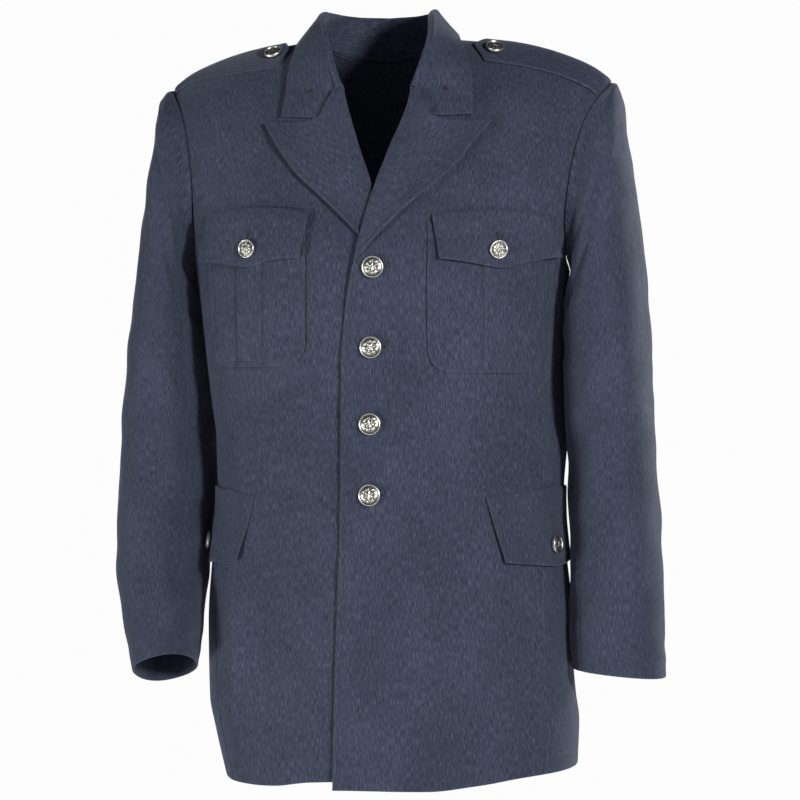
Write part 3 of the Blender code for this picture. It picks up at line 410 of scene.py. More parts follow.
# Soft folds of the body: the line of a trough or ridge in front view, its half width and depth.
# Side 1 is the wearer's left; face -1 the front. A negative depth is a trough.
FOLDS = rows_of(
    "side face x0 z0 x1 z1 half_width depth",
    (1, -1, 0.176, -0.575, 0.105, -0.655, 0.020, -0.0050),
    (1, -1, 0.165, -0.640, 0.090, -0.715, 0.018, -0.0035),
    (1, -1, 0.120, -0.720, 0.105, -0.757, 0.016, -0.0030),
    (1, -1, 0.130, -0.620, 0.060, -0.700, 0.022, 0.0030),
    (1, -1, 0.110, -0.045, 0.125, -0.130, 0.012, -0.0030),
    (1, -1, 0.145, -0.060, 0.150, -0.140, 0.010, -0.0025),
    (-1, -1, 0.150, -0.600, 0.150, -0.740, 0.016, 0.0040),
    (-1, -1, 0.085, -0.600, 0.080, -0.757, 0.020, -0.0030),
    (-1, -1, 0.105, -0.060, 0.120, -0.130, 0.014, -0.0025),
    (-1, -1, 0.160, -0.420, 0.090, -0.450, 0.016, -0.0025),
    (1, -1, 0.155, -0.400, 0.080, -0.430, 0.016, -0.0025),
    (1, 1, 0.120, -0.080, 0.150, -0.190, 0.018, -0.0035),
    (-1, 1, 0.125, -0.085, 0.150, -0.185, 0.018, -0.0035),
    (1, 1, 0.150, -0.390, 0.050, -0.420, 0.018, -0.0035),
    (-1, 1, 0.140, -0.405, 0.040, -0.430, 0.018, -0.0035),
    (1, 1, 0.080, -0.520, 0.095, -0.757, 0.026, 0.0040),
    (-1, 1, 0.090, -0.520, 0.100, -0.757, 0.026, 0.0040),
    (1, -1, 0.150, -0.555, 0.060, -0.600, 0.012, -0.0040),
    (1, -1, 0.120, -0.690, 0.040, -0.735, 0.014, -0.0040),
    (1, -1, 0.060, -0.560, 0.050, -0.690, 0.013, 0.0035),
    (1, -1, 0.165, -0.345, 0.110, -0.395, 0.009, -0.0037),
    (1, -1, 0.160, -0.440, 0.120, -0.452, 0.007, -0.0035),
    (1, -1, 0.085, -0.060, 0.088, -0.115, 0.009, -0.0035),
    (1, -1, 0.175, -0.075, 0.168, -0.150, 0.009, -0.0043),
    (1, -1, 0.030, -0.330, 0.075, -0.352, 0.009, -0.0035),
    (1, -1, 0.025, -0.405, 0.070, -0.398, 0.008, -0.0029),
    (1, -1, 0.030, -0.475, 0.085, -0.510, 0.010, -0.0037),
    (-1, -1, 0.060, -0.350, 0.150, -0.385, 0.009, -0.0037),
    (-1, -1, 0.050, -0.470, 0.120, -0.455, 0.009, -0.0035),
    (-1, -1, 0.060, -0.560, 0.055, -0.720, 0.012, 0.0040),
    (-1, -1, 0.120, -0.580, 0.110, -0.700, 0.012, -0.0046),
    (-1, -1, 0.150, -0.060, 0.160, -0.135, 0.010, -0.0046),
    (-1, -1, 0.175, -0.090, 0.150, -0.160, 0.009, -0.0035),
    (1, 1, 0.060, -0.060, 0.110, -0.115, 0.012, -0.0040),
    (-1, 1, 0.055, -0.070, 0.105, -0.125, 0.012, -0.0040),
    (1, 1, 0.155, -0.345, 0.080, -0.370, 0.010, -0.0046),
    (-1, 1, 0.150, -0.350, 0.070, -0.380, 0.010, -0.0046),
    (1, 1, 0.160, -0.440, 0.090, -0.455, 0.010, -0.0040),
    (-1, 1, 0.155, -0.455, 0.085, -0.470, 0.010, -0.0040),
    (1, 1, 0.130, -0.560, 0.150, -0.740, 0.016, -0.0064),
    (-1, 1, 0.135, -0.570, 0.145, -0.745, 0.016, -0.0064),
    (1, 1, 0.030, -0.300, 0.120, -0.330, 0.014, -0.0035),
    (-1, 1, 0.035, -0.310, 0.115, -0.335, 0.014, -0.0035),
)

# Rings of the sleeves: the points furthest out and in, the middle, the half depth, and how much
# higher the front of the ring is than its middle
SLEEVE_COLUMNS = "station outer_x outer_z inner_x inner_z middle_y half_depth front_lift"
LEFT_SLEEVE = Table(
    SLEEVE_COLUMNS,
    (0, 0.2290, -0.0460, 0.1900, -0.2380, 0.002, 0.070, 0.000),
    (1, 0.2350, -0.0470, 0.1935, -0.2400, 0.002, 0.074, 0.000),
    (2, 0.2395, -0.0560, 0.1930, -0.2440, 0.002, 0.078, 0.000),
    (3, 0.2440, -0.0800, 0.1905, -0.2510, 0.003, 0.081, 0.000),
    (4, 0.2490, -0.1150, 0.1860, -0.2620, 0.003, 0.083, 0.000),
    (5, 0.2555, -0.1600, 0.1825, -0.2760, 0.004, 0.084, 0.000),
    (6, 0.2620, -0.2100, 0.1815, -0.2950, 0.006, 0.084, 0.000),
    (7, 0.2665, -0.2620, 0.1815, -0.3180, 0.008, 0.083, 0.000),
    (8, 0.2700, -0.3130, 0.1820, -0.3450, 0.010, 0.081, 0.000),
    (9, 0.2720, -0.3600, 0.1822, -0.3780, 0.011, 0.079, 0.000),
    (10, 0.2745, -0.4100, 0.1836, -0.4150, 0.010, 0.076, 0.000),
    (11, 0.2775, -0.4580, 0.1848, -0.4580, 0.006, 0.072, 0.002),
    (12, 0.2800, -0.5050, 0.1872, -0.5050, 0.001, 0.068, 0.003),
    (13, 0.2830, -0.5530, 0.1888, -0.5530, -0.004, 0.063, 0.003),
    (14, 0.2850, -0.5980, 0.1887, -0.5950, -0.008, 0.058, 0.002),
    (15, 0.2860, -0.6300, 0.1900, -0.6230, -0.011, 0.054, 0.001),
    (16, 0.2870, -0.6540, 0.1912, -0.6450, -0.013, 0.051, 0.000),
)
RIGHT_SLEEVE = Table(
    SLEEVE_COLUMNS,
    (0, 0.2290, -0.0460, 0.2010, -0.2380, 0.002, 0.070, 0.000),
    (1, 0.2355, -0.0470, 0.2040, -0.2400, 0.002, 0.074, 0.000),
    (2, 0.2400, -0.0560, 0.2050, -0.2440, 0.002, 0.078, 0.000),
    (3, 0.2425, -0.0800, 0.2045, -0.2510, 0.003, 0.081, 0.000),
    (4, 0.2480, -0.1150, 0.2030, -0.2620, 0.003, 0.082, 0.000),
    (5, 0.2545, -0.1600, 0.2010, -0.2760, 0.004, 0.082, 0.000),
    (6, 0.2620, -0.2100, 0.1985, -0.2950, 0.006, 0.082, 0.000),
    (7, 0.2695, -0.2620, 0.1960, -0.3180, 0.008, 0.081, 0.000),
    (8, 0.2755, -0.3130, 0.1935, -0.3450, 0.010, 0.080, 0.000),
    (9, 0.2800, -0.3600, 0.1915, -0.3800, 0.011, 0.079, 0.000),
    (10, 0.2840, -0.4100, 0.1885, -0.4200, 0.008, 0.078, 0.002),
    (11, 0.2855, -0.4580, 0.1865, -0.4650, 0.001, 0.075, 0.006),
    (12, 0.2840, -0.5050, 0.1885, -0.5080, -0.012, 0.071, 0.011),
    (13, 0.2805, -0.5520, 0.1895, -0.5500, -0.028, 0.067, 0.014),
    (14, 0.2710, -0.5960, 0.1900, -0.5850, -0.046, 0.063, 0.016),
    (15, 0.2600, -0.6300, 0.1910, -0.6150, -0.060, 0.060, 0.016),
    (16, 0.2530, -0.6560, 0.1920, -0.6380, -0.070, 0.058, 0.016),
)

# Creases of the sleeves: turn and station of their ends, half width in stations, and depth
CREASES = rows_of(
    "side turn0 station0 turn1 station1 half_width depth",
    (1, 0.20, 3.2, 0.34, 4.6, 0.55, -0.0030),
    (1, 0.28, 9.6, 0.42, 10.8, 0.70, -0.0040),
    (1, 0.26, 11.6, 0.40, 10.9, 0.55, -0.0030),
    (-1, 0.20, 3.4, 0.33, 4.6, 0.55, -0.0025),
    (-1, 0.24, 12.6, 0.40, 11.6, 0.60, -0.0050),
    (-1, 0.26, 13.4, 0.42, 12.9, 0.50, -0.0040),
    (-1, 0.24, 11.2, 0.38, 10.2, 0.70, -0.0040),
    (1, 0.30, 4.6, 0.42, 5.6, 0.35, -0.0025),
    (1, 0.22, 8.8, 0.34, 9.5, 0.35, -0.0023),
    (1, 0.25, 12.6, 0.38, 12.0, 0.35, -0.0025),
    (1, 0.16, 10.6, 0.26, 10.9, 0.30, -0.0022),
    (1, 0.60, 9.8, 0.74, 10.6, 0.45, -0.0040),
    (1, 0.62, 11.4, 0.72, 11.0, 0.35, -0.0029),
    (1, 0.66, 3.4, 0.78, 4.4, 0.45, -0.0032),
    (-1, 0.30, 4.6, 0.42, 5.6, 0.35, -0.0025),
    (-1, 0.28, 10.4, 0.40, 9.6, 0.35, -0.0032),
    (-1, 0.24, 12.1, 0.36, 11.6, 0.28, -0.0036),
    (-1, 0.27, 14.0, 0.40, 13.4, 0.30, -0.0032),
    (-1, 0.60, 10.4, 0.74, 11.2, 0.45, -0.0040),
    (-1, 0.62, 12.4, 0.72, 11.8, 0.35, -0.0032),
    (-1, 0.66, 3.4, 0.78, 4.4, 0.45, -0.0032),
)

# The collar from the centre back to its front end: the fold in space, and the outer edge in plan
COLLAR = Table(
    "along fold_x fold_y fold_z edge_x edge_y",
    (0.00, 0.0000, 0.0660, 0.0310, 0.0000, 0.0790),
    (0.20, 0.0270, 0.0610, 0.0315, 0.0370, 0.0730),
    (0.40, 0.0490, 0.0370, 0.0310, 0.0660, 0.0450),
    (0.55, 0.0560, 0.0050, 0.0290, 0.0795, 0.0010),
    (0.65, 0.0560, -0.0240, 0.0220, 0.0845, -0.0200),
    (0.75, 0.0540, -0.0540, 0.0040, 0.0890, -0.0400),
    (0.85, 0.0480, -0.0765, -0.0210, 0.0935, -0.0580),
    (1.00, 0.0362, -0.0895, -0.0565, 0.0985, -0.0800),
)

# The front end of the collar in front view: down the gorge seam, then along the free edge
COLLAR_END = Table(
    "lay across height",
    (0.00, 0.0380, -0.0553),
    (0.33, 0.0522, -0.0872),
    (1.00, 0.0985, -0.0845),
)
NECK_SIDE = 0.55
NECK_SEAM = Table(
    "along height",
    (0.55, 0.0015),
    (0.65, -0.0080),
    (0.75, -0.0220),
    (0.85, -0.0380),
    (1.00, -0.0590),
)

# Outer edge of a lapel in front view, from the break to the tip
LAPEL_EDGE = Table(
    "along across height",
    (0.00, -0.0155, -0.2360),
    (0.22, 0.0125, -0.2065),
    (0.45, 0.0450, -0.1757),
    (0.72, 0.0815, -0.1410),
    (1.00, 0.1160, -0.0930),
)
LAPEL_BREAK = -0.2355
LAPEL_GORGE = -0.0595

# Edges of a shoulder strap in plan, from its point to the sleeve
STRAP = Table(
    "across front_left back_left front_right back_right",
    (0.095, -0.0420, 0.0020, -0.0430, 0.0010),
    (0.130, -0.0375, 0.0090, -0.0385, 0.0080),
    (0.165, -0.0345, 0.0150, -0.0320, 0.0150),
    (0.200, -0.0310, 0.0200, -0.0210, 0.0260),
    (0.229, -0.0270, 0.0240, -0.0110, 0.0340),
)

# Turn of the pressed crease down the outer side of each sleeve
PRESSED_CREASE = Table(
    "station left right",
    (2.0, 0.060, 0.060),
    (4.0, 0.064, 0.040),
    (6.0, 0.052, 0.020),
    (9.0, 0.010, 0.000),
    (12.0, -0.020, -0.020),
    (16.0, -0.030, -0.030),
)
PRESSED_RISE = 0.0009
PRESSED_WIDTH = 0.0050
PRESSED_GIRTH = 0.35

# Stations over which the pressed crease and the swell of a sleeve begin and end
PRESSED_BEGINS, PRESSED_ENDS = (1.0, 3.0), (10.0, 14.0)
SWELL_BEGINS, SWELL_ENDS = (0.5, 3.0), (LAST_STATION - 1.0, LAST_STATION)


def smooth(low, high, value):
    """0 below low, 1 above high, and a soft step between them."""
    t = np.clip((value - low) / (high - low), 0, 1)
    return t * t * (3 - 2 * t)


def bell(distance, width):
    """1 in the middle, and falling off softly to both sides."""
    return np.exp(-((distance / width) ** 2))


def arch(share, power):
    """Height over a share of the half width, under an arch that a higher power makes squarer."""
    return (1 - share**power) ** (1 / power)


def raised_level(share):
    """The level at a share of the way from BASE up to TOP."""
    return BASE + (TOP - BASE) * share


def unit(vectors):
    return vectors / np.maximum(np.linalg.norm(vectors, axis=-1, keepdims=True), 1e-12)


def to_segment(x, z, x0, z0, x1, z1):
    """Distance from points to a line that ends at both ends, in front view."""
    length = (x1 - x0) ** 2 + (z1 - z0) ** 2
    t = np.clip(((x - x0) * (x1 - x0) + (z - z0) * (z1 - z0)) / length, 0, 1)
    return np.hypot(x - x0 - t * (x1 - x0), z - z0 - t * (z1 - z0))


def swell(first, second, seed):
    """A slight uneven swell between -1 and 1, from two lengths along the cloth."""
    total = np.zeros(np.shape(first))
    for number, (wave, turned) in enumerate(SWELLS):
        phase = SEED_SHIFT * seed + WAVE_SHIFT * number
        along = first * math.cos(turned) + second * math.sin(turned)
        bent = WANDER * np.sin(2 * math.pi * (second - first) / (WANDER_LENGTH * wave) + phase)
        total = total + np.sin(2 * math.pi * along / wave + bent + phase)
    return total / len(SWELLS)


def side_name(side):
    return "left" if side > 0 else "right"


def face_name(face):
    return "front" if face < 0 else "back"


def ring_depth(side, face, across, level):
    """How far the body's ring lies from the shoulder plane, at a distance from the centre line."""
    width = BODY.at(side_name(side), level)
    power = BODY.at("roundness", level)
    share = np.clip(np.abs(across) / width, 0, 1)
    return BODY.at(face_name(face), level) * arch(share, power)


def height_at(side, across, level):
    """Height of a level, which slants up to the shoulder at the top and bends at the hem."""
    up = np.clip((level - BASE) / (TOP - BASE), 0, 1)
    slanted = BASE + (SHOULDER.at("height", np.abs(across)) - BASE) * up
    hem = HEM_LINE.at(side_name(side), across) - HEM
    return np.where(level > BASE, slanted, level + hem * smooth(-HEM - HEM_BLEND, -HEM, -level))


def level_at(across, height):
    """The level that passes through a height, above the part that the hem bends."""
    up = (height - BASE) / (SHOULDER.at("height", np.abs(across)) - BASE)
    return np.where(height > BASE, raised_level(np.clip(up, 0, 1)), height)


def throat_lift(side, across, height):
    """How far a front stands forward beside the roll line."""
    past_edge = np.maximum(across - FRONT_EDGE.at(side_name(side), height), 0)
    return THROAT.at("lift", height) * bell(past_edge, THROAT_WIDTH)


def fold_lift(side, face, across, level, height):
    """Soft folds, which fade out before they reach a seam."""
    total = np.zeros(np.shape(across))
    for fold in FOLDS:
        if fold["side"] == side and fold["face"] == face:
            away = to_segment(across, height, fold["x0"], fold["z0"], fold["x1"], fold["z1"])
            total = total + fold["depth"] * bell(away, fold["half_width"])
    total = total + BODY_SWELL * swell(across, height, side + 3 * face)
    seam = seam_across(side, face, level)
    return total * (1 - smooth(seam - SEAM_FADE, seam, across)) * smooth(0, SEAM_FADE, across)


def body(side, face, across, level):
    """Points of the body's front (face -1) or back (face 1) on one side of the centre line."""
    across, level = np.broadcast_arrays(np.asarray(across, float), np.asarray(level, float))
    up = np.clip((level - BASE) / (TOP - BASE), 0, 1)
    fullness = FRONT_FULLNESS if face < 0 else BACK_FULLNESS
    fall = np.maximum(1 - up**fullness, 0) ** (1 / fullness)
    height = height_at(side, across, level)
    depth = ring_depth(side, face, across, level) + fold_lift(side, face, across, level, height)
    y = SHOULDER_Y * (1 - fall) + face * depth * fall
    if face < 0:
        y = y - throat_lift(side, across, height)
    return np.stack([side * across, y, height], axis=-1)


def flank_bulge(side, y, level):
    """How far a side panel stands out, most in its middle and nothing at its seams."""
    front, back = SEAMS.at("front", level), SEAMS.at("back", level)
    share = np.clip((y + front) / (front + back), 0, 1)
    return FLANK.at(side_name(side), level) * np.sin(math.pi * share) ** 1.5


def flank(side, y, level):
    """Points round the side of the body, by their distance forward or back."""
    y, level = np.broadcast_arrays(np.asarray(y, float), np.asarray(level, float))
    power = BODY.at("roundness", level)
    depth = np.where(y < 0, BODY.at("front", level), BODY.at("back", level))
    across = BODY.at(side_name(side), level) * arch(np.abs(y) / depth, power)
    across = across + flank_bulge(side, y, level)
    return np.stack([side * across, y, height_at(side, across, level)], axis=-1)


def lifted(surface, first, second, lift, outward, step=1e-4):
    """Points of a surface, moved along its normal. outward turns the normal to face out."""
    points = surface(first, second)
    along_first = surface(first + step, second) - surface(first - step, second)
    along_second = surface(first, second + step) - surface(first, second - step)
    normal = unit(np.cross(along_first, along_second)) * outward
    return points + normal * np.asarray(lift)[..., None]


def on_body(side, face, across, level, lift):
    def surface(out, up):
        return body(side, face, out, np.minimum(up, TOP))

    return lifted(surface, across, level, lift, -face * side)


def on_flank(side, y, level, lift):
    return lifted(partial(flank, side), y, level, lift, side)


def lap_lift(side, across, height):
    """How far the left front is lifted where it lies over the right."""
    if side < 0:
        return np.zeros(np.shape(across))
    return LAP.at("lift", height) * (1 - smooth(LAP_INNER, LAP_OUTER, across))


def on_front(side, across, height, lift):
    """Points in front view, lifted off the front panel of one side."""
    level = level_at(across, height)
    return on_body(side, -1, across, level, lift + lap_lift(side, across, height))


def seam_across(side, face, level):
    """Distance from the centre line to the side seam or, above it, to the armhole."""
    power = BODY.at("roundness", level)
    depth = BODY.at(face_name(face), level)
    seam = SEAMS.at(face_name(face), level)
    below = BODY.at(side_name(side), level) * arch(seam / depth, power)
    return np.where(level > BASE, ARMHOLE.at(side_name(side), level), below)


def on_top(side, across, y, lift):
    """Points of the shoulders and the upper body, by their place in plan. Each round brings the
    level closer to the one that passes through that place."""
    face = np.where(y < SHOULDER_Y, -1, 1)
    level = np.full(np.shape(across), TOP)
    for _ in range(PLAN_ROUNDS):
        height = height_at(side, across, level)
        forward = y + np.where(face < 0, throat_lift(side, across, height), 0)
        front = -ring_depth(side, -1, across, level)
        back = ring_depth(side, 1, across, level)
        reach = np.where(face < 0, front, back)
        fall = np.clip((forward - SHOULDER_Y) / (reach - SHOULDER_Y), 0, 0.999)
        fullness = np.where(face < 0, FRONT_FULLNESS, BACK_FULLNESS)
        level = raised_level(arch(fall, fullness))
    front_points = on_body(side, -1, across, level, lift)
    back_points = on_body(side, 1, across, level, lift)
    return np.where((face < 0)[..., None], front_points, back_points)


def side_panel_y(share, level):
    """Place forward or back on a side panel, from a share of its width."""
    front, back = SEAMS.at("front", level), SEAMS.at("back", level)
    return (front + back) * share - front


def armhole(side, turn):
    """The armhole seam, from the shoulder point through the front and round under the arm."""
    turn = np.asarray(turn, float) % 1.0
    front_up = np.sin(np.clip(1 - turn / FRONT_TURN, 0, 1) * math.pi / 2)
    back_up = np.sin(np.clip((turn - BACK_TURN) / (1 - BACK_TURN), 0, 1) * math.pi / 2)
    front_level, back_level = raised_level(front_up), raised_level(back_up)
    share = np.clip((turn - FRONT_TURN) / (BACK_TURN - FRONT_TURN), 0, 1)
    y = side_panel_y(share, BASE)
    under = flank(side, y, BASE - ARMHOLE_DIP * (1 - (2 * share - 1) ** 2))
    front = body(side, -1, ARMHOLE.at(side_name(side), front_level), front_level)
    back = body(side, 1, ARMHOLE.at(side_name(side), back_level), back_level)
    points = np.where((turn <= FRONT_TURN)[..., None], front, under)
    return np.where((turn >= BACK_TURN)[..., None], back, points)


def sleeve_ring(side, turn, station):
    """Points of a sleeve's ring, by turns from its outer side through the front."""
    rings = LEFT_SLEEVE if side > 0 else RIGHT_SLEEVE
    outer_x, outer_z = rings.at("outer_x", station), rings.at("outer_z", station)
    inner_x, inner_z = rings.at("inner_x", station), rings.at("inner_z", station)
    out, forward = np.cos(2 * math.pi * turn), np.sin(2 * math.pi * turn)
    power = SLEEVE_ROUNDNESS
    square = (np.abs(out) ** power + np.abs(forward) ** power) ** (-1 / power)
    out, forward = out * square, forward * square
    x = (outer_x + inner_x) / 2 + (outer_x - inner_x) / 2 * out
    y = rings.at("middle_y", station) - rings.at("half_depth", station) * forward
    z = (outer_z + inner_z) / 2 + (outer_z - inner_z) / 2 * out
    z = z + rings.at("front_lift", station) * forward
    return np.stack([side * x, y, z], axis=-1)


def sleeve(side, turn, station):
    """Points of a sleeve: rings of the table, drawn in to the armhole at the top."""
    turn, station = np.broadcast_arrays(np.asarray(turn, float), np.asarray(station, float))
    cap = np.clip(1 - station / CAP_STATIONS, 0, 1)[..., None] ** 2
    seam = armhole(side, turn) - sleeve_ring(side, turn, np.zeros_like(station))
    return sleeve_ring(side, turn, station) + seam * cap


def crease_lift(side, turn, station):
    """Creases and swell of a sleeve, which fade out towards its head and cuff."""
    total = np.zeros(np.shape(turn))
    for crease in CREASES:
        if crease["side"] == side:
            start, end = crease["turn0"] * STATIONS_ROUND, crease["turn1"] * STATIONS_ROUND
            away = to_segment(
                turn * STATIONS_ROUND, station, start, crease["station0"], end, crease["station1"]
            )
            total = total + crease["depth"] * bell(away, crease["half_width"])
    from_crease = (turn - PRESSED_CREASE.at(side_name(side), station)) * PRESSED_GIRTH
    fade = smooth(*PRESSED_BEGINS, station) * (1 - smooth(*PRESSED_ENDS, station))
    total = total + PRESSED_RISE * np.exp(-np.abs(from_crease) / PRESSED_WIDTH) * fade
    loose = smooth(*SWELL_BEGINS, station) * (1 - smooth(*SWELL_ENDS, station))
    uneven = swell(turn * SLEEVE_GIRTH, station * STATION_LENGTH, 5 * side)
    return total + SLEEVE_SWELL * uneven * loose


def on_sleeve(side, turn, station, lift):
    def surface(around, down):
        return sleeve(side, around, np.maximum(down, 0))

    return lifted(surface, turn, station, lift + crease_lift(side, turn, station), side)


def neckline_level(side, across):
    """Level of the back's top edge: the neckline near the centre, the shoulder seam further out."""
    share = np.clip(across / NECK_HALF_WIDTH, 0, 1)
    y = SHOULDER_Y + (NECK_BACK - SHOULDER_Y) * np.sqrt(1 - share**2)
    fall = (y - SHOULDER_Y) / (ring_depth(side, 1, across, TOP) - SHOULDER_Y)
    return raised_level(arch(fall, BACK_FULLNESS))


def front_inner(side, level):
    """Distance from the centre line to the inner edge of a front, at a level. Each round comes
    closer, because the height of a level changes with the distance."""
    across = np.zeros(np.shape(level))
    for _ in range(EDGE_ROUNDS):
        across = FRONT_EDGE.at(side_name(side), height_at(side, across, level))
    return across


def fold_line(place):
    return np.stack([COLLAR.at(name, place) for name in ("fold_x", "fold_y", "fold_z")], axis=-1)


def collar_seam(place):
    """The seam of the collar to the neckline, from the centre back to the front end."""
    back_across = NECK_HALF_WIDTH * np.sin(np.clip(place / NECK_SIDE, 0, 1) * math.pi / 2)
    back = body(1, 1, back_across, neckline_level(1, back_across))
    height = NECK_SEAM.at("height", place)
    front_across = FRONT_EDGE.at("right", height)
    front = body(1, -1, front_across, level_at(front_across, height))
    return np.where((place < NECK_SIDE)[..., None], back, front) + np.array([0.0, 0.0, COLLAR_SEAT])


def fall_share(share):
    """How far down the collar's fall a share of its width lies, from the fold to the edge."""
    return np.clip((share - FOLD_SHARE) / (1 - FOLD_SHARE), 0, 1)


def collar_half(place, share):
    """Half of the collar with a straight end: up the stand, over the fold and down the fall."""
    ridge = fold_line(place)
    tangent = unit(fold_line(np.minimum(place + 1e-3, 1)) - fold_line(np.maximum(place - 1e-3, 0)))
    seam = collar_seam(place)
    edge_lift = np.full(place.shape, COLLAR_EDGE_LIFT)
    edge = on_top(1, COLLAR.at("edge_x", place), COLLAR.at("edge_y", place), edge_lift)

    def across_only(vectors):
        return vectors - tangent * np.sum(vectors * tangent, axis=-1, keepdims=True)

    down = unit(across_only(seam - ridge))
    out = across_only(edge - ridge)
    out = unit(out - down * np.sum(out * down, axis=-1, keepdims=True))
    stand = np.clip(share / STAND_SHARE, 0, 1)[..., None]
    bend = np.clip((share - STAND_SHARE) / (FOLD_SHARE - STAND_SHARE), 0, 1)[..., None] * math.pi
    lay = fall_share(share)[..., None]
    on_stand = seam + (ridge - seam) * stand
    on_fold = ridge + out * FOLD_RADIUS * (1 - np.cos(bend)) - down * FOLD_RADIUS * np.sin(bend)
    start = ridge + out * 2 * FOLD_RADIUS
    guide = start + down * 0.15 * np.linalg.norm(edge - start, axis=-1, keepdims=True)
    on_fall = start * (1 - lay) ** 2 + guide * 2 * lay * (1 - lay) + edge * lay**2
    points = np.where(share[..., None] <= STAND_SHARE, on_stand, on_fold)
    return np.where(share[..., None] >= FOLD_SHARE, on_fall, points)


def collar_section(along, share):
    """Points of the whole collar, with the notch cut at its front ends."""
    along, share = np.broadcast_arrays(np.asarray(along, float), np.asarray(share, float))
    place = np.abs(along)
    points = collar_half(place, share)
    lay = fall_share(share)
    end = collar_half(np.ones_like(place), share)
    near_end = smooth(GORGE_START, 1, place) ** 1.5 * smooth(0, 0.05, lay)
    points[..., 0] += (COLLAR_END.at("across", lay) - end[..., 0]) * near_end
    points[..., 2] += (COLLAR_END.at("height", lay) - end[..., 2]) * near_end
    chest = on_front(-1, points[..., 0], points[..., 2], np.full(place.shape, COLLAR_EDGE_LIFT))
    clear = np.minimum(points[..., 1], chest[..., 1])
    over_chest = smooth(0.70, 0.80, place) * smooth(0, 0.2, lay)
    points[..., 1] += (clear - points[..., 1]) * over_chest
    points[..., 0] *= np.where(along < 0, -1.0, 1.0)
    return points


# A chest flap in front view: its top and bottom edges from the inner side to the outer one
CHEST_FLAP = Table(
    "share top_across top_left top_right low_across low_left low_right",
    (0.00, 0.0615, -0.1890, -0.1850, 0.0690, -0.2330, -0.2290),
    (0.25, 0.0890, -0.1845, -0.1805, 0.0965, -0.2350, -0.2310),
    (0.50, 0.1170, -0.1830, -0.1790, 0.1260, -0.2400, -0.2390),
    (0.75, 0.1440, -0.1840, -0.1800, 0.1530, -0.2325, -0.2335),
    (1.00, 0.1705, -0.1860, -0.1830, 0.1780, -0.2260, -0.2285),
)


def chest_flap_place(side, share, down, lift):
    """Points of a chest flap: share from its inner side out, and down from its seam."""
    top_x, low_x = CHEST_FLAP.at("top_across", share), CHEST_FLAP.at("low_across", share)
    top_z = CHEST_FLAP.at("top_" + side_name(side), share)
    low_z = CHEST_FLAP.at("low_" + side_name(side), share)
    across = top_x + (low_x - top_x) * down
    height = top_z + (low_z - top_z) * down
    over = POCKET_WALL + FLAP_GAP + PLEAT_RISE * smooth(0, 0.25, down)
    free = FLAP_FREE * smooth(0.4, 1.0, down) + FLAP_BULGE * np.sin(math.pi * down)
    return on_front(side, across, height, lift + FLAP_WALL + LAYER_GAP + over + free)


def round_body(side, length, height):
    """Points round the hips, by the length round the body from the hip button."""
    start = math.asin((HIP_BUTTON_X / HIP_RING_WIDTH) ** HIP_RING_POWER)
    angle = start + np.asarray(length) / HIP_RING_RADIUS
    power = BODY.at("roundness", height)
    x = BODY.at(side_name(side), height) * np.abs(np.sin(angle)) ** (2 / power)
    depth = np.where(np.cos(angle) > 0, BODY.at("front", height), BODY.at("back", height))
    y = -np.sign(np.cos(angle)) * depth * np.abs(np.cos(angle)) ** (2 / power)
    x = x + flank_bulge(side, y, height)
    return np.stack([side * x, y, height + 0 * x], axis=-1)


def on_hip(side, length, height, lift):
    return lifted(partial(round_body, side), length, height, lift, side)


def hip_flap_place(side, share, down, lift):
    """Points of a hip flap: share from its front end back, and down from its seam."""
    around = 2 * share - 1
    front_half = HIP_HALF_WIDTH + HIP_FRONT_EXTRA[side] - HIP_SLANT * down
    length = HIP_BUTTON_SHIFT[side] + around * np.where(around < 0, front_half, HIP_HALF_WIDTH)
    top = HIP_TOP - HIP_FRONT_DROP * (share < 0.5) * (1 - 2 * share)
    low = HIP_BOTTOM - HIP_POINT_DROP * (1 - np.abs(around))
    height = top + (low - top) * down
    free = HIP_FLAP_FREE * smooth(0.4, 1.0, down) + FLAP_BULGE * np.sin(math.pi * down / 2)
    return on_hip(side, length, height, lift + FLAP_WALL + LAYER_GAP + free)


def strap_end(side, y):
    """Distance from the centre line to the armhole seam, at a place on top of the shoulder."""
    turns = np.linspace(-0.3, 0.3, 121)
    seam = armhole(side, turns)[::-1]
    return np.interp(y, seam[:, 1], np.abs(seam[:, 0])) - STRAP_MARGIN


def strap_place(side, along, over, lift):
    """Points of a shoulder strap: along from its point to the sleeve, and over from front to back."""
    tip = STRAP_POINT_X + STRAP_CORNER * np.abs(2 * over - 1)

    def edges(across):
        return [STRAP.at(f"{name}_{side_name(side)}", across) for name in ("front", "back")]

    front, back = edges(STRAP_SEAM_X)
    end = strap_end(side, front + (back - front) * over)
    across = tip + (end - tip) * along
    front, back = edges(across)
    return on_top(side, across, front + (back - front) * over, lift + STRAP_WALL + LAYER_GAP)


def leaned(points):
    """The neck and collar lean to the wearer's right, as the wearer stands."""
    x, y, z = points[..., 0], points[..., 1], points[..., 2]
    near = (1 - smooth(*LEAN_ASIDE, np.abs(x))) * smooth(*LEAN_BACK, y) * smooth(*LEAN_UP, z)
    return points + (NECK_LEAN * near)[..., None] * np.array([-1.0, 0.0, 0.0])


# Colours of the wool and of its worn edges
WOOL_DARK = (0.024, 0.027, 0.047)
WOOL_MIDDLE = (0.050, 0.060, 0.096)
WOOL_LIGHT = (0.098, 0.128, 0.180)
WORN_EDGE = (0.16, 0.18, 0.23)
WHITE = (1.0, 1.0, 1.0)

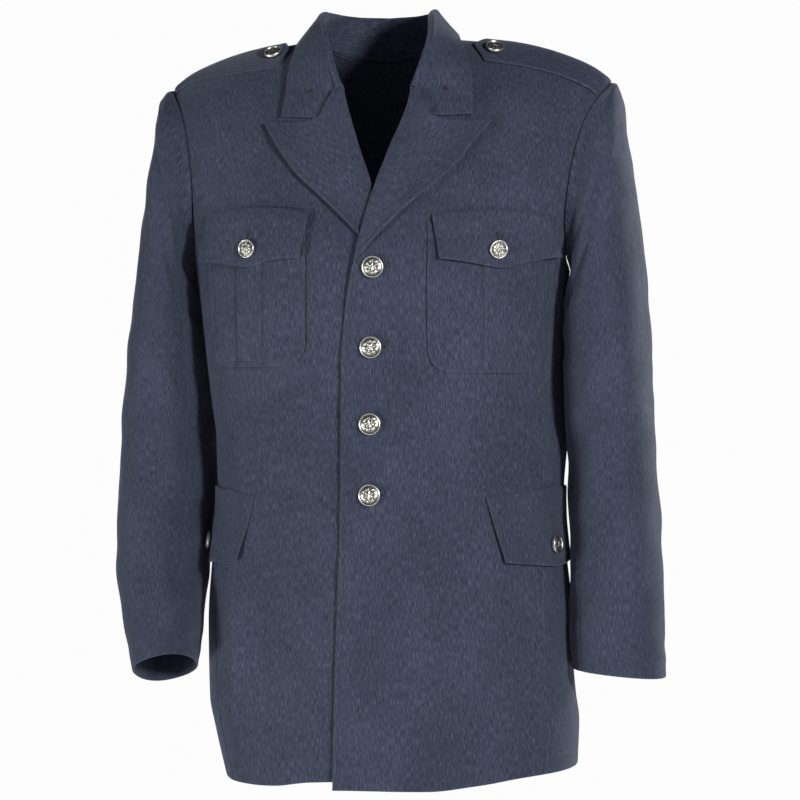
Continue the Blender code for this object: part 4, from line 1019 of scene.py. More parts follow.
# Noise of the wool: grains in a metre across and along the weave, detail, roughness and shift
WOOL_STREAKS = ((1150.0, 130.0, 1.0), 3.0, 0.62)
WOOL_BANDS = ((380.0, 26.0, 1.0), 2.0, 0.6, (5.0, 2.0, 0.0))
WOOL_FLECKS = ((1300.0, 700.0, 1.0), 2.0, 0.6, (3.0, 7.0, 0.0))
WOOL_CLOUDS = ((16.0, 9.0, 1.0), 3.0, 0.5, (11.0, 5.0, 0.0))

# Colours of the silver, from its patina to its bright places
PATINA = (0.16, 0.15, 0.13)
SILVER = (0.40, 0.39, 0.35)
BRIGHT_SILVER = (0.80, 0.79, 0.75)


def set_inputs(node, values):
    for name, value in values.items():
        node.inputs[name].default_value = value


def new_material(name, roughness, metallic=0.0):
    made = bpy.data.materials.new(name)
    made.use_nodes = True
    shader = made.node_tree.nodes["Principled BSDF"]
    set_inputs(shader, {"Roughness": roughness, "Metallic": metallic})
    return made, made.node_tree, shader


def feed(tree, sockets, values):
    """Links each value that is a socket, and sets each that is a number or a colour."""
    for socket, value in zip(sockets, values):
        if hasattr(value, "links"):
            tree.links.new(value, socket)
        else:
            socket.default_value = value


def add_math(tree, operation, first, second):
    node = tree.nodes.new("ShaderNodeMath")
    node.operation = operation
    feed(tree, node.inputs, (first, second))
    return node.outputs[0]


def add_noise(tree, coordinates, stretch, detail=2.0, roughness=0.5, offset=(0.0, 0.0, 0.0)):
    """Noise whose grains are 1 / stretch long along each axis."""
    mapping = tree.nodes.new("ShaderNodeMapping")
    set_inputs(mapping, {"Scale": stretch, "Location": offset})
    tree.links.new(coordinates, mapping.inputs["Vector"])
    noise = tree.nodes.new("ShaderNodeTexNoise")
    set_inputs(noise, {"Scale": 1.0, "Detail": detail, "Roughness": roughness})
    tree.links.new(mapping.outputs["Vector"], noise.inputs["Vector"])
    return noise.outputs["Fac"]


def add_ramp(tree, fac, *stops):
    """A colour ramp through (place, colour) stops."""
    ramp = tree.nodes.new("ShaderNodeValToRGB").color_ramp
    while len(ramp.elements) < len(stops):
        ramp.elements.new(0.5)
    for element, (place, colour) in zip(ramp.elements, stops):
        element.position = place
        element.color = (*colour, 1.0)
    node = tree.nodes[-1]
    tree.links.new(fac, node.inputs["Fac"])
    return node.outputs["Color"]


def add_mix(tree, kind, fac, first, second):
    node = tree.nodes.new("ShaderNodeMix")
    node.data_type = "RGBA"
    node.blend_type = kind
    feed(tree, [s for s in node.inputs if s.enabled], (fac, first, second))
    return next(s for s in node.outputs if s.enabled)


def add_bump(tree, shader, height, strength, distance):
    bump = tree.nodes.new("ShaderNodeBump")
    set_inputs(bump, {"Strength": strength, "Distance": distance})
    tree.links.new(height, bump.inputs["Height"])
    tree.links.new(bump.outputs["Normal"], shader.inputs["Normal"])


def wool_material(name):
    """Blue-grey heather wool: fine streaks along the weave, a fine twill, a soft nap."""
    made, tree, shader = new_material(name, 0.86)
    weave = tree.nodes.new("ShaderNodeUVMap")
    weave.uv_map = "weave"
    along = weave.outputs["UV"]
    streaks = add_noise(tree, along, *WOOL_STREAKS)
    bands = add_noise(tree, along, *WOOL_BANDS)
    flecks = add_noise(tree, along, *WOOL_FLECKS)
    clouds = add_noise(tree, along, *WOOL_CLOUDS)
    colour = add_ramp(tree, streaks, (0.30, WOOL_DARK), (0.50, WOOL_MIDDLE), (0.70, WOOL_LIGHT))
    for noise, share, low, shade in (
        (bands, 0.9, 0.34, (0.78, 0.76, 0.80)),
        (flecks, 0.8, 0.34, (0.72, 0.72, 0.78)),
        (clouds, 1.0, 0.35, (0.80, 0.80, 0.83)),
    ):
        shading = add_ramp(tree, noise, (low, shade), (1 - low, WHITE))
        colour = add_mix(tree, "MULTIPLY", share, colour, shading)
    wear = tree.nodes.new("ShaderNodeAttribute")
    wear.attribute_name = "edge_wear"
    worn = add_math(tree, "MULTIPLY", wear.outputs["Fac"], 0.08)
    colour = add_mix(tree, "MIX", worn, colour, (*WORN_EDGE, 1.0))
    tree.links.new(colour, shader.inputs["Base Color"])

    ribs = tree.nodes.new("ShaderNodeTexWave")
    ribs.wave_type = "BANDS"
    ribs.bands_direction = "DIAGONAL"
    set_inputs(ribs, {"Scale": 620.0, "Distortion": 1.2, "Detail": 1.0, "Detail Scale": 1.5})
    tree.links.new(along, ribs.inputs["Vector"])
    relief = add_math(tree, "ADD", add_math(tree, "MULTIPLY", streaks, 0.7), ribs.outputs["Fac"])
    add_bump(tree, shader, add_math(tree, "ADD", relief, flecks), 0.35, 0.00022)
    rough = add_math(tree, "ADD", add_math(tree, "MULTIPLY", flecks, 0.16), 0.76)
    tree.links.new(rough, shader.inputs["Roughness"])
    set_inputs(shader, {"Sheen Weight": 0.22, "Sheen Roughness": 0.45, "Specular IOR Level": 0.25})
    shader.inputs["Sheen Tint"].default_value = (0.75, 0.82, 1.0, 1.0)
    return made


# Thread with a slight twist in its colour; also used for the near-black lids of painted shade in the
# buttonholes' slits
def thread_and_shade_material(name, colour):
    made, tree, shader = new_material(name, 0.7)
    place = tree.nodes.new("ShaderNodeTexCoord").outputs["Object"]
    twist = add_noise(tree, place, (2600.0, 2600.0, 2600.0))
    darker = tuple(0.72 * v for v in colour)
    tree.links.new(add_ramp(tree, twist, (0.35, darker), (0.65, colour)), shader.inputs["Base Color"])
    set_inputs(shader, {"Sheen Weight": 0.15, "Specular IOR Level": 0.3})
    return made


def metal_material():
    """Antique silver: bright on what stands up, with dark patina in what lies low."""
    made, tree, shader = new_material("antique_silver", 0.34, 1.0)
    relief = tree.nodes.new("ShaderNodeAttribute")
    relief.attribute_name = "standing"
    place = tree.nodes.new("ShaderNodeTexCoord").outputs["Object"]
    tarnish = add_noise(tree, place, (420.0, 420.0, 420.0), 4.0, 0.6)
    mixed = add_math(tree, "ADD", relief.outputs["Fac"], add_math(tree, "MULTIPLY", tarnish, 0.36))
    colour = add_ramp(tree, mixed, (0.16, PATINA), (0.46, SILVER), (0.84, BRIGHT_SILVER))
    tree.links.new(colour, shader.inputs["Base Color"])
    scuffs = add_noise(tree, place, (1500.0, 1500.0, 1500.0), 2.0, 0.7)
    rough = add_math(tree, "ADD", add_math(tree, "MULTIPLY", tarnish, 0.30), 0.20)
    tree.links.new(rough, shader.inputs["Roughness"])
    add_bump(tree, shader, scuffs, 0.25, 0.00008)
    return made


def link_object(name, mesh):
    made = bpy.data.objects.new(name, mesh)
    bpy.context.scene.collection.objects.link(made)
    return made


def shares(count, length, crowding=1.0):
    """Shares from 0 to 1, close together at both ends, where edges are turned and stitched."""
    near = EDGE_STEPS / length
    middle = np.linspace(0, 1, count)
    middle = 1 - (1 - middle) ** crowding
    middle = middle[(middle > near[-1] * 1.3) & (middle < 1 - near[-1] * 1.3)]
    return np.concatenate([near, middle, 1 - near[::-1]])


def arc_lengths(points, axis):
    """Lengths along the rows or columns of a grid of points."""
    steps = np.linalg.norm(np.diff(points, axis=axis), axis=-1)
    start = np.zeros_like(np.take(steps, [0], axis=axis))
    return np.cumsum(np.concatenate([start, steps], axis=axis), axis=axis)


def nearest_edge(distances, edges, kinds):
    """Distance to the nearest of the edges that are of certain kinds."""
    near = np.full(distances[0].shape, FAR_AWAY)
    for distance, kind in zip(distances, edges):
        if kind in kinds:
            near = np.minimum(near, distance)
    return near


def edge_form(distances, edges, wall):
    """How far the outer and inner face of a wall move near its edges."""
    sewn = nearest_edge(distances, edges, ("sewn",))
    free = nearest_edge(distances, edges, ("free", "stitched"))
    stitched = nearest_edge(distances, edges, ("stitched",))
    dip = -SEAM_DIP * bell(sewn, SEAM_ROLL)
    reach = np.clip(1 - free / (ROUND_REACH * wall), 0, 1)
    rounding = ROUND_DEPTH * wall * (1 - np.sqrt(1 - reach**2))
    sink = STITCH_SINK * bell(stitched - STITCH_IN, STITCH_WIDTH)
    bulge = TURNED_BULGE * bell(stitched - 0.5 * STITCH_IN, 0.35 * STITCH_IN)
    wear = np.exp(-free / WEAR_WIDTH) * (free < 0.9 * FAR_AWAY)
    return dip - rounding - sink + bulge, dip + rounding, wear


def stitch_path(points, distances, edge, edges):
    """The line of top-stitching beside one edge, stopped short at stitched edges across it."""
    across = (2, 3) if edge < 2 else (0, 1)
    away = distances[edge]
    ends = [distances[k] for k in across if edges[k] == "stitched"]
    if edge < 2:
        points, away, ends = points.swapaxes(0, 1), away.T, [d.T for d in ends]
    if edge % 2:
        points, away, ends = points[:, ::-1], away[:, ::-1], [d[:, ::-1] for d in ends]
    path = []
    for row in range(len(points)):
        k = int(np.searchsorted(away[row], STITCH_IN))
        if k >= away.shape[1] or any(d[row, k] < STITCH_IN for d in ends):
            continue
        share = (STITCH_IN - away[row, k - 1]) / (away[row, k] - away[row, k - 1])
        path.append(points[row, k - 1] + (points[row, k] - points[row, k - 1]) * share)
    return np.array(path)


def wall_mesh(name, outer, inner, weave, wear):
    """Joins two grids of points, the outer and inner face of a wall, into one closed mesh."""
    rows, columns = outer.shape[:2]
    points = np.concatenate([outer.reshape(-1, 3), inner.reshape(-1, 3)])
    below = rows * columns
    grid = np.arange(below).reshape(rows, columns)
    quads = np.stack([grid[:-1, :-1], grid[:-1, 1:], grid[1:, 1:], grid[1:, :-1]], axis=-1)
    rim = np.concatenate([grid[0], grid[1:, -1], grid[-1, -2::-1], grid[-2:0:-1, 0]])
    after = np.roll(rim, -1)
    sides = np.stack([after, rim, rim + below, after + below], axis=-1)
    quads = quads.reshape(-1, 4)
    faces = np.concatenate([quads, quads[:, ::-1] + below, sides])
    corners = points[faces]
    volume = np.sum(np.cross(corners[:, 0], corners[:, 1]) * corners[:, 2])
    volume += np.sum(np.cross(corners[:, 0], corners[:, 2]) * corners[:, 3])
    if volume < 0:
        faces = faces[:, ::-1]
    mesh = bpy.data.meshes.new(name)
    mesh.from_pydata(points.tolist(), [], faces.tolist())
    mesh.shade_smooth()
    layer = mesh.uv_layers.new(name="weave")
    both = np.tile(weave.reshape(-1, 2), (2, 1))
    layer.data.foreach_set("uv", both[faces.reshape(-1)].reshape(-1))
    worn = mesh.attributes.new("edge_wear", "FLOAT", "POINT")
    worn.data.foreach_set("value", np.tile(wear.reshape(-1), 2))
    return mesh


# Length that the weave gains over the shoulders for each metre forward or back
SHOULDER_GRAIN = 0.7


def body_grain(points, turned=0.0):
    """Lengths across and up the cloth of the body, with the warp upright, or turned from that."""
    x, y, z = points[..., 0], points[..., 1], points[..., 2]
    up = z - SHOULDER_GRAIN * np.abs(y)
    cos, sin = math.cos(turned), math.sin(turned)
    return np.stack([x * cos + up * sin, up * cos - x * sin], -1)


def side_grain(points):
    return np.stack([points[..., 1], points[..., 2]], -1)


def long_grain(points):
    """The warp along a piece's rows, kept parallel."""
    down, over = arc_lengths(points, 0), arc_lengths(points, 1)
    return np.stack([0 * over + over.mean(axis=0), 0 * down + down.mean(axis=1, keepdims=True)], -1)


def rows_first(place, side):
    """A place(side, across, down, lift), called as add_cloth does: with the row before the column."""
    return lambda row, column, lift: place(side, column, row, lift)


def add_cloth(
    node, place, rows, columns, wall, edges, grain=long_grain, extra=None, stitches=None
):
    """Makes the cloth of one node. edges are the kinds of the first and last row and column."""
    r, c = np.meshgrid(rows, columns, indexing="ij")
    flat = leaned(place(r, c, np.zeros_like(r)))
    down, over = arc_lengths(flat, 0), arc_lengths(flat, 1)
    distances = (down, down[-1:] - down, over, over[:, -1:] - over)
    if extra is not None:
        distances = extra(r, c, distances)
    outer_lift, inner_lift, wear = edge_form(distances, edges, wall)
    outer = leaned(place(r, c, outer_lift))
    inner = leaned(place(r, c, inner_lift - wall))
    piece = link_object(node + "_cloth", wall_mesh(node + "_cloth", outer, inner, grain(flat), wear))
    piece.data.materials.append(WOOL)
    if stitches is not None:
        STITCHED.extend(stitches(outer))
    else:
        for edge, kind in enumerate(edges):
            if kind == "stitched":
                STITCHED.append(stitch_path(outer, distances, edge, edges))
    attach(piece, "root")
    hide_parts(node)


def body_levels(shoulder_steps):
    """Rows of the body: levels up to the armholes, then up to the shoulder or neck."""
    hem = HEM + EDGE_STEPS
    low = np.linspace(HEM, BASE, 84)
    turn = np.linspace(0, 1, 46)
    turn = turn[(turn > 0) & (turn < 1 - 1.4 * shoulder_steps[-1])]
    turns = np.concatenate([turn, 1 - np.array(shoulder_steps)[::-1]])
    high = raised_level(np.sin(turns * math.pi / 2))
    return np.concatenate([hem, low[low > hem[-1] + 0.002], high])


# Distances of the top rows of the fronts and backs from the shoulder seam, as shares of a turn
FRONT_SHOULDER_STEPS = (0.0, 0.006, 0.012, 0.02, 0.03, 0.045, 0.065)
BACK_SHOULDER_STEPS = (0.0, 0.0005, 0.001, 0.0018, 0.003, 0.006, 0.012, 0.022)


def front_place(side, share, level, lift):
    """Points of a front, from its edge to the side seam. The left one's edge stands off a little."""
    inner = front_inner(side, level)
    across = inner + (seam_across(side, -1, level) - inner) * share
    height = height_at(side, across, level)
    edge = bell(across - inner, EDGE_STAND_WIDTH) * (side > 0)
    off = EDGE_STANDS_OFF * edge * smooth(EDGE_STAND_TOP, EDGE_STAND_LOW, height)
    points = on_body(side, -1, across, level, lift + lap_lift(side, across, height) + off)
    points[..., 1] = np.where(level >= TOP, SHOULDER_Y, points[..., 1])
    return points


def back_place(side, share, level, lift):
    """Points of a back, from the centre seam to the side seam, up to the neckline and shoulder."""
    across = seam_across(side, 1, level) * share
    top = np.where(across < NECK_HALF_WIDTH, neckline_level(side, across), TOP)
    mapped = np.where(level > BASE, BASE + (level - BASE) * (top - BASE) / (TOP - BASE), level)
    points = on_body(side, 1, across, mapped, lift)
    at_seam = (level >= TOP) & (across >= NECK_HALF_WIDTH)
    points[..., 1] = np.where(at_seam, SHOULDER_Y, points[..., 1])
    return points


def side_place(side, share, level, lift):
    """Points of a side panel, whose top dips under the arm."""
    drop = ARMHOLE_DIP * (1 - (2 * share - 1) ** 2) * (level - HEM) / (BASE - HEM)
    return on_flank(side, side_panel_y(share, level), level - drop, lift)


def sleeve_stations():
    """Rows of a sleeve, close together at its head and cuff."""
    head = np.array([0, 0.03, 0.07, 0.12, 0.2, 0.3, 0.45])
    cuff = LAST_STATION - np.array([0.12, 0.07, 0.035, 0.015, 0.005, 0.0])
    return np.concatenate([head, np.linspace(0.6, LAST_STATION - 0.2, 96), cuff])


def lapel_fold(side, along, out, lift):
    """A lapel and its roll: out from -1 to 0 turns round the front's edge, 1 is its outer edge."""
    share = np.clip(out, 0, 1)
    over_collar = smooth(0.90, 1, along) * (1 - smooth(0.14, 0.50, share))
    height = LAPEL_BREAK + (LAPEL_GORGE - LAPEL_BREAK) * along + LAPEL_TUCK * over_collar
    roll = FRONT_EDGE.at(side_name(side), height) + ROLL_SHIFT
    edge = LAPEL_EDGE.at("across", along)
    angle = np.clip(-out, 0, 1) * math.pi
    radius = ROLL_RADIUS + lift
    across = roll + (edge - roll) * share - radius * np.sin(angle)
    height = height + (LAPEL_EDGE.at("height", along) - height) * share
    dip = np.minimum(share / LAPEL_NOTCH_SHARE, (1 - share) / (1 - LAPEL_NOTCH_SHARE))
    height = height - LAPEL_NOTCH_DROP * dip * along**4
    roll_share = share / LAPEL_ROLL_PLACE
    rise = LAPEL_ROLL * roll_share * np.exp(1 - roll_share) * smooth(0.25, 0.8, along)
    free = LAPEL_FREE * smooth(0.6, 1, share) * smooth(0.0, 0.4, along)
    free = free + LAPEL_STANDS_OFF * smooth(0.55, 1, share) * smooth(0.02, 0.25, along)
    above = LAYER_GAP + LAPEL_WALL - ROLL_RADIUS + radius * np.cos(angle)
    return on_front(side, across, height, above + rise + LAPEL_TOP_RISE * over_collar + free)


def pocket_outer(side):
    """Outer edge of a chest pocket, which stays clear of the side seam."""
    return min(POCKET_OUTER, float(seam_across(side, -1, POCKET_BOTTOM[side])) - POCKET_EDGE_MARGIN)


def pocket_bottom(side, across):
    """Height of a pocket's lower edge, which rises round its corners."""
    outer = pocket_outer(side)
    from_side = np.clip(np.minimum(across - POCKET_INNER[side], outer - across), 0, POCKET_CORNER)
    drop = np.sqrt(POCKET_CORNER**2 - (POCKET_CORNER - from_side) ** 2)
    return POCKET_BOTTOM[side] + POCKET_CORNER - drop


def pocket_lift(across):
    """The pleat stands above the pocket, with a fold down each side."""
    risen = smooth(PLEAT_INNER - PLEAT_EDGE, PLEAT_INNER, across)
    risen = risen * (1 - smooth(PLEAT_OUTER, PLEAT_OUTER + PLEAT_EDGE, across))
    middle = (PLEAT_INNER + PLEAT_OUTER) / 2
    hollow = PLEAT_HOLLOW * bell(across - middle, PLEAT_HOLLOW_WIDTH)
    groove = bell(across - PLEAT_INNER + PLEAT_EDGE, GROOVE_WIDTH)
    groove = groove + 0.5 * bell(across - PLEAT_OUTER - PLEAT_EDGE, GROOVE_WIDTH)
    return PLEAT_RISE * risen - hollow - GROOVE_DEPTH * groove


def pocket_place(side, across, share, lift):
    bottom = pocket_bottom(side, across)
    height = POCKET_TOP + (bottom - POCKET_TOP) * share
    return on_front(side, across, height, lift + LAYER_GAP + POCKET_WALL + pocket_lift(across))


def pocket_distances(side, share, across, distances):
    """Distances to the top, to the bottom with its round corners, and to the sides."""
    outer = pocket_outer(side)
    height = POCKET_TOP + (pocket_bottom(side, across) - POCKET_TOP) * share
    from_side = np.minimum(across - POCKET_INNER[side], outer - across)
    from_bottom = height - POCKET_BOTTOM[side]
    corner = (from_side < POCKET_CORNER) & (from_bottom < POCKET_CORNER)
    round_in = POCKET_CORNER - np.hypot(POCKET_CORNER - from_side, POCKET_CORNER - from_bottom)
    inset = np.where(corner, round_in, np.minimum(from_side, from_bottom))
    return (distances[0], np.maximum(inset, 0), inset + FAR_AWAY, inset + FAR_AWAY)


def pocket_stitches(side):
    """Paths of the stitching round a pocket, in front view, and down the folds of its pleat."""
    outer = pocket_outer(side)
    radius = POCKET_CORNER - STITCH_IN
    turn = np.linspace(0, math.pi / 2, 9)
    low, high = POCKET_BOTTOM[side] + POCKET_CORNER, POCKET_TOP
    near, far = POCKET_INNER[side] + POCKET_CORNER, outer - POCKET_CORNER
    down = np.linspace(high, low, 20)
    level = np.linspace(near, far, 16)[1:-1]
    x = [np.full_like(down, near - radius), near - radius * np.cos(turn), level]
    z = [down, low - radius * np.sin(turn), np.full_like(level, low - radius)]
    x += [far + radius * np.sin(turn), np.full_like(down, far + radius)]
    z += [low - radius * np.cos(turn), down[::-1]]
    x, z = np.concatenate(x), np.concatenate(z)
    lift = LAYER_GAP + POCKET_WALL + pocket_lift(x) - STITCH_SINK
    return [leaned(on_front(side, x, z, lift))]


def flap_rows():
    near = EDGE_STEPS / FLAP_LENGTH
    return np.concatenate([near, np.linspace(0, 1, 22)[4:-4], 1 - near[::-1]])


def strap_rows():
    near = EDGE_STEPS / STRAP_LENGTH
    return np.concatenate([near, np.linspace(near[-1], 1, 46)[1:]])


def collar_grid():
    """Places along the collar and shares up its stand, over its fold and down its fall."""
    near = EDGE_STEPS / COLLAR_HALF_LENGTH
    half = np.concatenate([np.linspace(0, 1 - near[-1], 80), 1 - near[::-1][1:]])
    alongs = np.concatenate([-half[::-1], half[1:]])
    fall = EDGE_STEPS / COLLAR_WIDTH
    ups = np.linspace(0, STAND_SHARE, 8)
    bend = np.linspace(STAND_SHARE, FOLD_SHARE, 13)[1:]
    low = np.linspace(FOLD_SHARE, 1 - fall[-1], 22)[1:]
    return alongs, np.concatenate([ups, bend, low, 1 - fall[::-1][1:]])


def collar_place(along, share, lift):
    """The collar, whose front ends are cut aslant and lie under the tops of the lapels."""
    along, share = np.broadcast_arrays(np.asarray(along, float), np.asarray(share, float))
    place = np.abs(along)
    cut = GORGE_CUT * smooth(0.85, 1, place) * (1 - smooth(STAND_SHARE, FOLD_SHARE + 0.03, share))
    points = lifted(collar_section, along * (1 - cut), share, lift, -1, step=2e-4)
    lay = fall_share(share)
    points[..., 1] += COLLAR_END_DROP * smooth(0.90, 1, place) * (1 - smooth(0.30, 0.60, lay))
    points[..., 2] -= COLLAR_SEAT * (1 - smooth(0, 0.12, share))
    return points


WOOL = wool_material("heather_wool")
BRAID = thread_and_shade_material("top_stitch_thread", (0.036, 0.042, 0.064))
# Near-black lids in the slits of the buttonholes and the collar's pin holes: painted shade where the
# holes open into the cloth
SLIT_SHADE = thread_and_shade_material("buttonhole_painted_shade", (0.012, 0.013, 0.018))
METAL = metal_material()

# Paths of the top-stitching, collected while the cloth is made
STITCHED = []


def make_body(side):
    where, other = side_name(side), side_name(-side)
    front_edge = "stitched" if side > 0 else "free"
    add_cloth(
        f"front_{where}", rows_first(front_place, side), body_levels(FRONT_SHOULDER_STEPS),
        shares(50, length=0.20, crowding=1.2), BODY_WALL, ("free", "sewn", front_edge, "sewn"),
        body_grain,
    )
    add_cloth(
        f"back_{where}", rows_first(back_place, side), body_levels(BACK_SHOULDER_STEPS),
        shares(48, length=0.19), BODY_WALL, ("free", "sewn", "sewn", "sewn"),
        body_grain,
    )
    middle = np.linspace(HEM + 0.012, BASE - 0.009, 82)
    levels = np.concatenate([HEM + EDGE_STEPS, middle, BASE - EDGE_STEPS[::-1]])
    add_cloth(
        f"side_{where}", rows_first(side_place, side), levels, shares(22, length=0.11), BODY_WALL,
        ("free", "sewn", "sewn", "sewn"), side_grain,
    )


def make_sleeve(side):
    where = side_name(side)
    top = SLEEVE_BACK_SEAM - 1 + (SLEEVE_FRONT_SEAM - SLEEVE_BACK_SEAM + 1) * shares(66, length=0.28)
    under = SLEEVE_FRONT_SEAM + (SLEEVE_BACK_SEAM - SLEEVE_FRONT_SEAM) * shares(34, length=0.15)
    for name, turns, neighbours in (
        ("sleeve_top", top, ("front", "back")),
        ("sleeve_under", under, ("side", "sleeve_top")),
    ):
        add_cloth(
            f"{name}_{where}", rows_first(on_sleeve, side), sleeve_stations(), turns, SLEEVE_WALL,
            ("sewn", "free", "sewn", "sewn"),
        )


def make_collar():
    alongs, ups = collar_grid()
    add_cloth(
        "collar", collar_place, alongs, ups, COLLAR_WALL,
        ("stitched", "stitched", "free", "stitched"),
    )


def make_lapel(side):
    near = EDGE_STEPS / LAPEL_WIDTH
    outs = [np.linspace(-1, 0, 13)[:-1], np.linspace(0, 1 - near[-1], 44)[:-1], 1 - near[::-1]]
    alongs = LAPEL_START + (1 - LAPEL_START) * shares(60, length=0.21)
    add_cloth(
        f"lapel_{side_name(side)}", lambda row, column, lift: lapel_fold(side, row, column, lift),
        alongs, np.concatenate(outs), LAPEL_WALL, ("free", "stitched", "free", "stitched"),
        lambda points: body_grain(points, -LAPEL_GRAIN * side),
    )


def make_pocket(side):
    where = side_name(side)
    inner, outer = POCKET_INNER[side], pocket_outer(side)
    across = inner + (outer - inner) * shares(52, length=0.11)
    beside = 2.5 * PLEAT_EDGE
    creases = np.concatenate([
        np.linspace(PLEAT_INNER - beside, PLEAT_INNER, 10),
        np.linspace(PLEAT_OUTER, PLEAT_OUTER + beside, 10),
    ])
    across = across[np.min(np.abs(across[:, None] - creases[None]), axis=1) > LEAST_SPACING]
    across = np.sort(np.concatenate([across, creases]))
    add_cloth(
        f"chest_pocket_{where}", rows_first(pocket_place, side), shares(46, length=0.14), across,
        POCKET_WALL, ("free", "stitched", "stitched", "stitched"),
        body_grain, lambda row, column, distances: pocket_distances(side, row, column, distances),
        lambda points: pocket_stitches(side),
    )


def make_flaps(side):
    where = side_name(side)

    # Flaps stand off towards their lower edge, the chest ones least at the button, and the hip
    # ones only in front of it
    def chest_flap(row, column, lift):
        held_down = CHEST_HELD_DOWN * bell(column - CHEST_BUTTON_SHARE, CHEST_HELD_WIDTH)
        off = FLAP_STANDS_OFF * smooth(FLAP_OFF_START, 1, row) * (1 - held_down)
        return chest_flap_place(side, column, row, lift + off)

    def hip_flap(row, column, lift):
        off = HIP_STANDS_OFF * smooth(FLAP_OFF_START, 1, row) * (1 - smooth(0.25, 0.5, column))
        return hip_flap_place(side, column, row, lift + off)

    flap = ("sewn", "stitched", "stitched", "stitched")
    add_cloth(
        f"chest_flap_{where}", chest_flap, flap_rows(), shares(45, length=0.11), FLAP_WALL, flap,
        body_grain,
    )
    add_cloth(
        f"hip_flap_{where}", hip_flap, flap_rows(), shares(51, length=0.155), FLAP_WALL, flap,
    )


def make_strap(side):
    where = side_name(side)
    add_cloth(
        f"epaulette_{where}", lambda row, column, lift: strap_place(side, row, column, lift),
        strap_rows(), shares(26, length=STRAP_WIDTH), STRAP_WALL,
        ("stitched", "sewn", "stitched", "stitched"),
    )


# A button's face from its centre out: share of the radius, and height as a share of the whole
BUTTON_FACE = Table(
    "share height",
    (0.00, 0.86),
    (0.30, 0.84),
    (0.55, 0.76),
    (0.72, 0.66),
    (0.79, 0.62),
    (0.84, 0.80),
    (0.90, 0.92),
    (0.95, 0.86),
    (1.00, 0.52),
)
BUTTON_HEIGHT = 0.0048
BUTTON_SPOKES = 96
MOTIF_RISE = 0.00055
MOTIF_LEAVES = 9
MOTIF_PETALS = 6

# Rings of a button's back, from its rim in: share of the radius, and of the height
BUTTON_BACK = ((0.985, 0.30), (0.93, 0.10), (0.86, 0.0))


def button_motif(share, turn):
    """A plain many-leaved rosette with uneven leaves, as a height from 0 to 1."""
    leaves = 0.5 + 0.5 * np.cos(MOTIF_LEAVES * turn + 5 * share + 0.5 * np.sin(3 * turn))
    outer = bell(share - 0.54, 0.13) * (0.25 + 0.75 * leaves)
    petals = 0.5 + 0.5 * np.cos(MOTIF_PETALS * turn + 1.0)
    inner = (1 - smooth(0.24, 0.44, share + 0.12 * (1 - petals))) * (0.45 + 0.55 * petals)
    grain = 0.22 * np.sin(31 * share * np.cos(turn) + 1.3) * np.sin(29 * share * np.sin(turn) + 0.4)
    grain = grain * (1 - smooth(0.6, 0.75, share))
    heart = bell(share, 0.12)
    return np.clip(outer + inner * (1 - 0.5 * heart) + 0.6 * heart + grain, 0, 1.2)


def button_mesh(name, diameter):
    """A struck face from rings round its centre, closed by a short back."""
    rings = np.concatenate([np.linspace(0.02, 0.76, 42), np.linspace(0.78, 1.0, 16)])
    turns = np.arange(BUTTON_SPOKES) / BUTTON_SPOKES * 2 * math.pi
    share, turn = np.meshgrid(rings, turns, indexing="ij")
    motif = button_motif(share, turn) * (1 - smooth(0.72, 0.78, share))
    height = BUTTON_FACE.at("height", share) * BUTTON_HEIGHT + MOTIF_RISE * motif
    standing = np.clip(0.06 + 0.52 * motif + 0.85 * smooth(0.80, 0.88, share), 0, 1)
    half = diameter / 2
    points = [np.stack([share * half * np.cos(turn), share * half * np.sin(turn), height], axis=-1)]
    for back_share, back_height in BUTTON_BACK:
        ring = np.stack([np.cos(turns), np.sin(turns), 0 * turns], axis=-1) * half * back_share
        ring[:, 2] = back_height * BUTTON_HEIGHT
        points.append(ring[None])
        standing = np.vstack([standing, np.full((1, BUTTON_SPOKES), 0.35)])
    points = np.concatenate(points)
    top = len(points) * BUTTON_SPOKES
    bottom = top + 1
    grid = np.arange(top).reshape(-1, BUTTON_SPOKES)
    after = np.roll(grid, -1, axis=1)
    quads = np.stack([grid[:-1], grid[1:], after[1:], after[:-1]], axis=-1).reshape(-1, 4).tolist()
    fans = [(top, int(grid[0, k]), int(after[0, k])) for k in range(BUTTON_SPOKES)]
    fans += [(bottom, int(after[-1, k]), int(grid[-1, k])) for k in range(BUTTON_SPOKES)]
    centre = BUTTON_FACE.at("height", 0.0) * BUTTON_HEIGHT + MOTIF_RISE * float(button_motif(0.0, 0.0))
    ends = np.array([[0, 0, centre], [0, 0, 0]])
    mesh = bpy.data.meshes.new(name)
    mesh.from_pydata(np.concatenate([points.reshape(-1, 3), ends]).tolist(), [], quads + fans)
    mesh.shade_smooth()
    values = np.concatenate([standing.reshape(-1), [0.7, 0.2]])
    mesh.attributes.new("standing", "FLOAT", "POINT").data.foreach_set("value", values)
    return mesh


def add_button(node, diameter, place, above=0.0, turned=0.0):
    """A button on its seat: place gives points of the cloth under it for a lift."""
    low, high = leaned(place(above)), leaned(place(above + FACING_STEP))
    facing = unit(high - low)
    mesh = button_mesh(node + "_metal", diameter)
    turn = Vector(facing.tolist()).to_track_quat("Z", "Y") @ Quaternion((0, 0, 1), turned)
    seat = Vector((low + facing * BUTTON_GAP).tolist())
    for vertex in mesh.vertices:
        vertex.co = turn @ vertex.co + seat
    piece = link_object(node + "_metal", mesh)
    mesh.materials.append(METAL)
    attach(piece, "root")
    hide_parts(node)


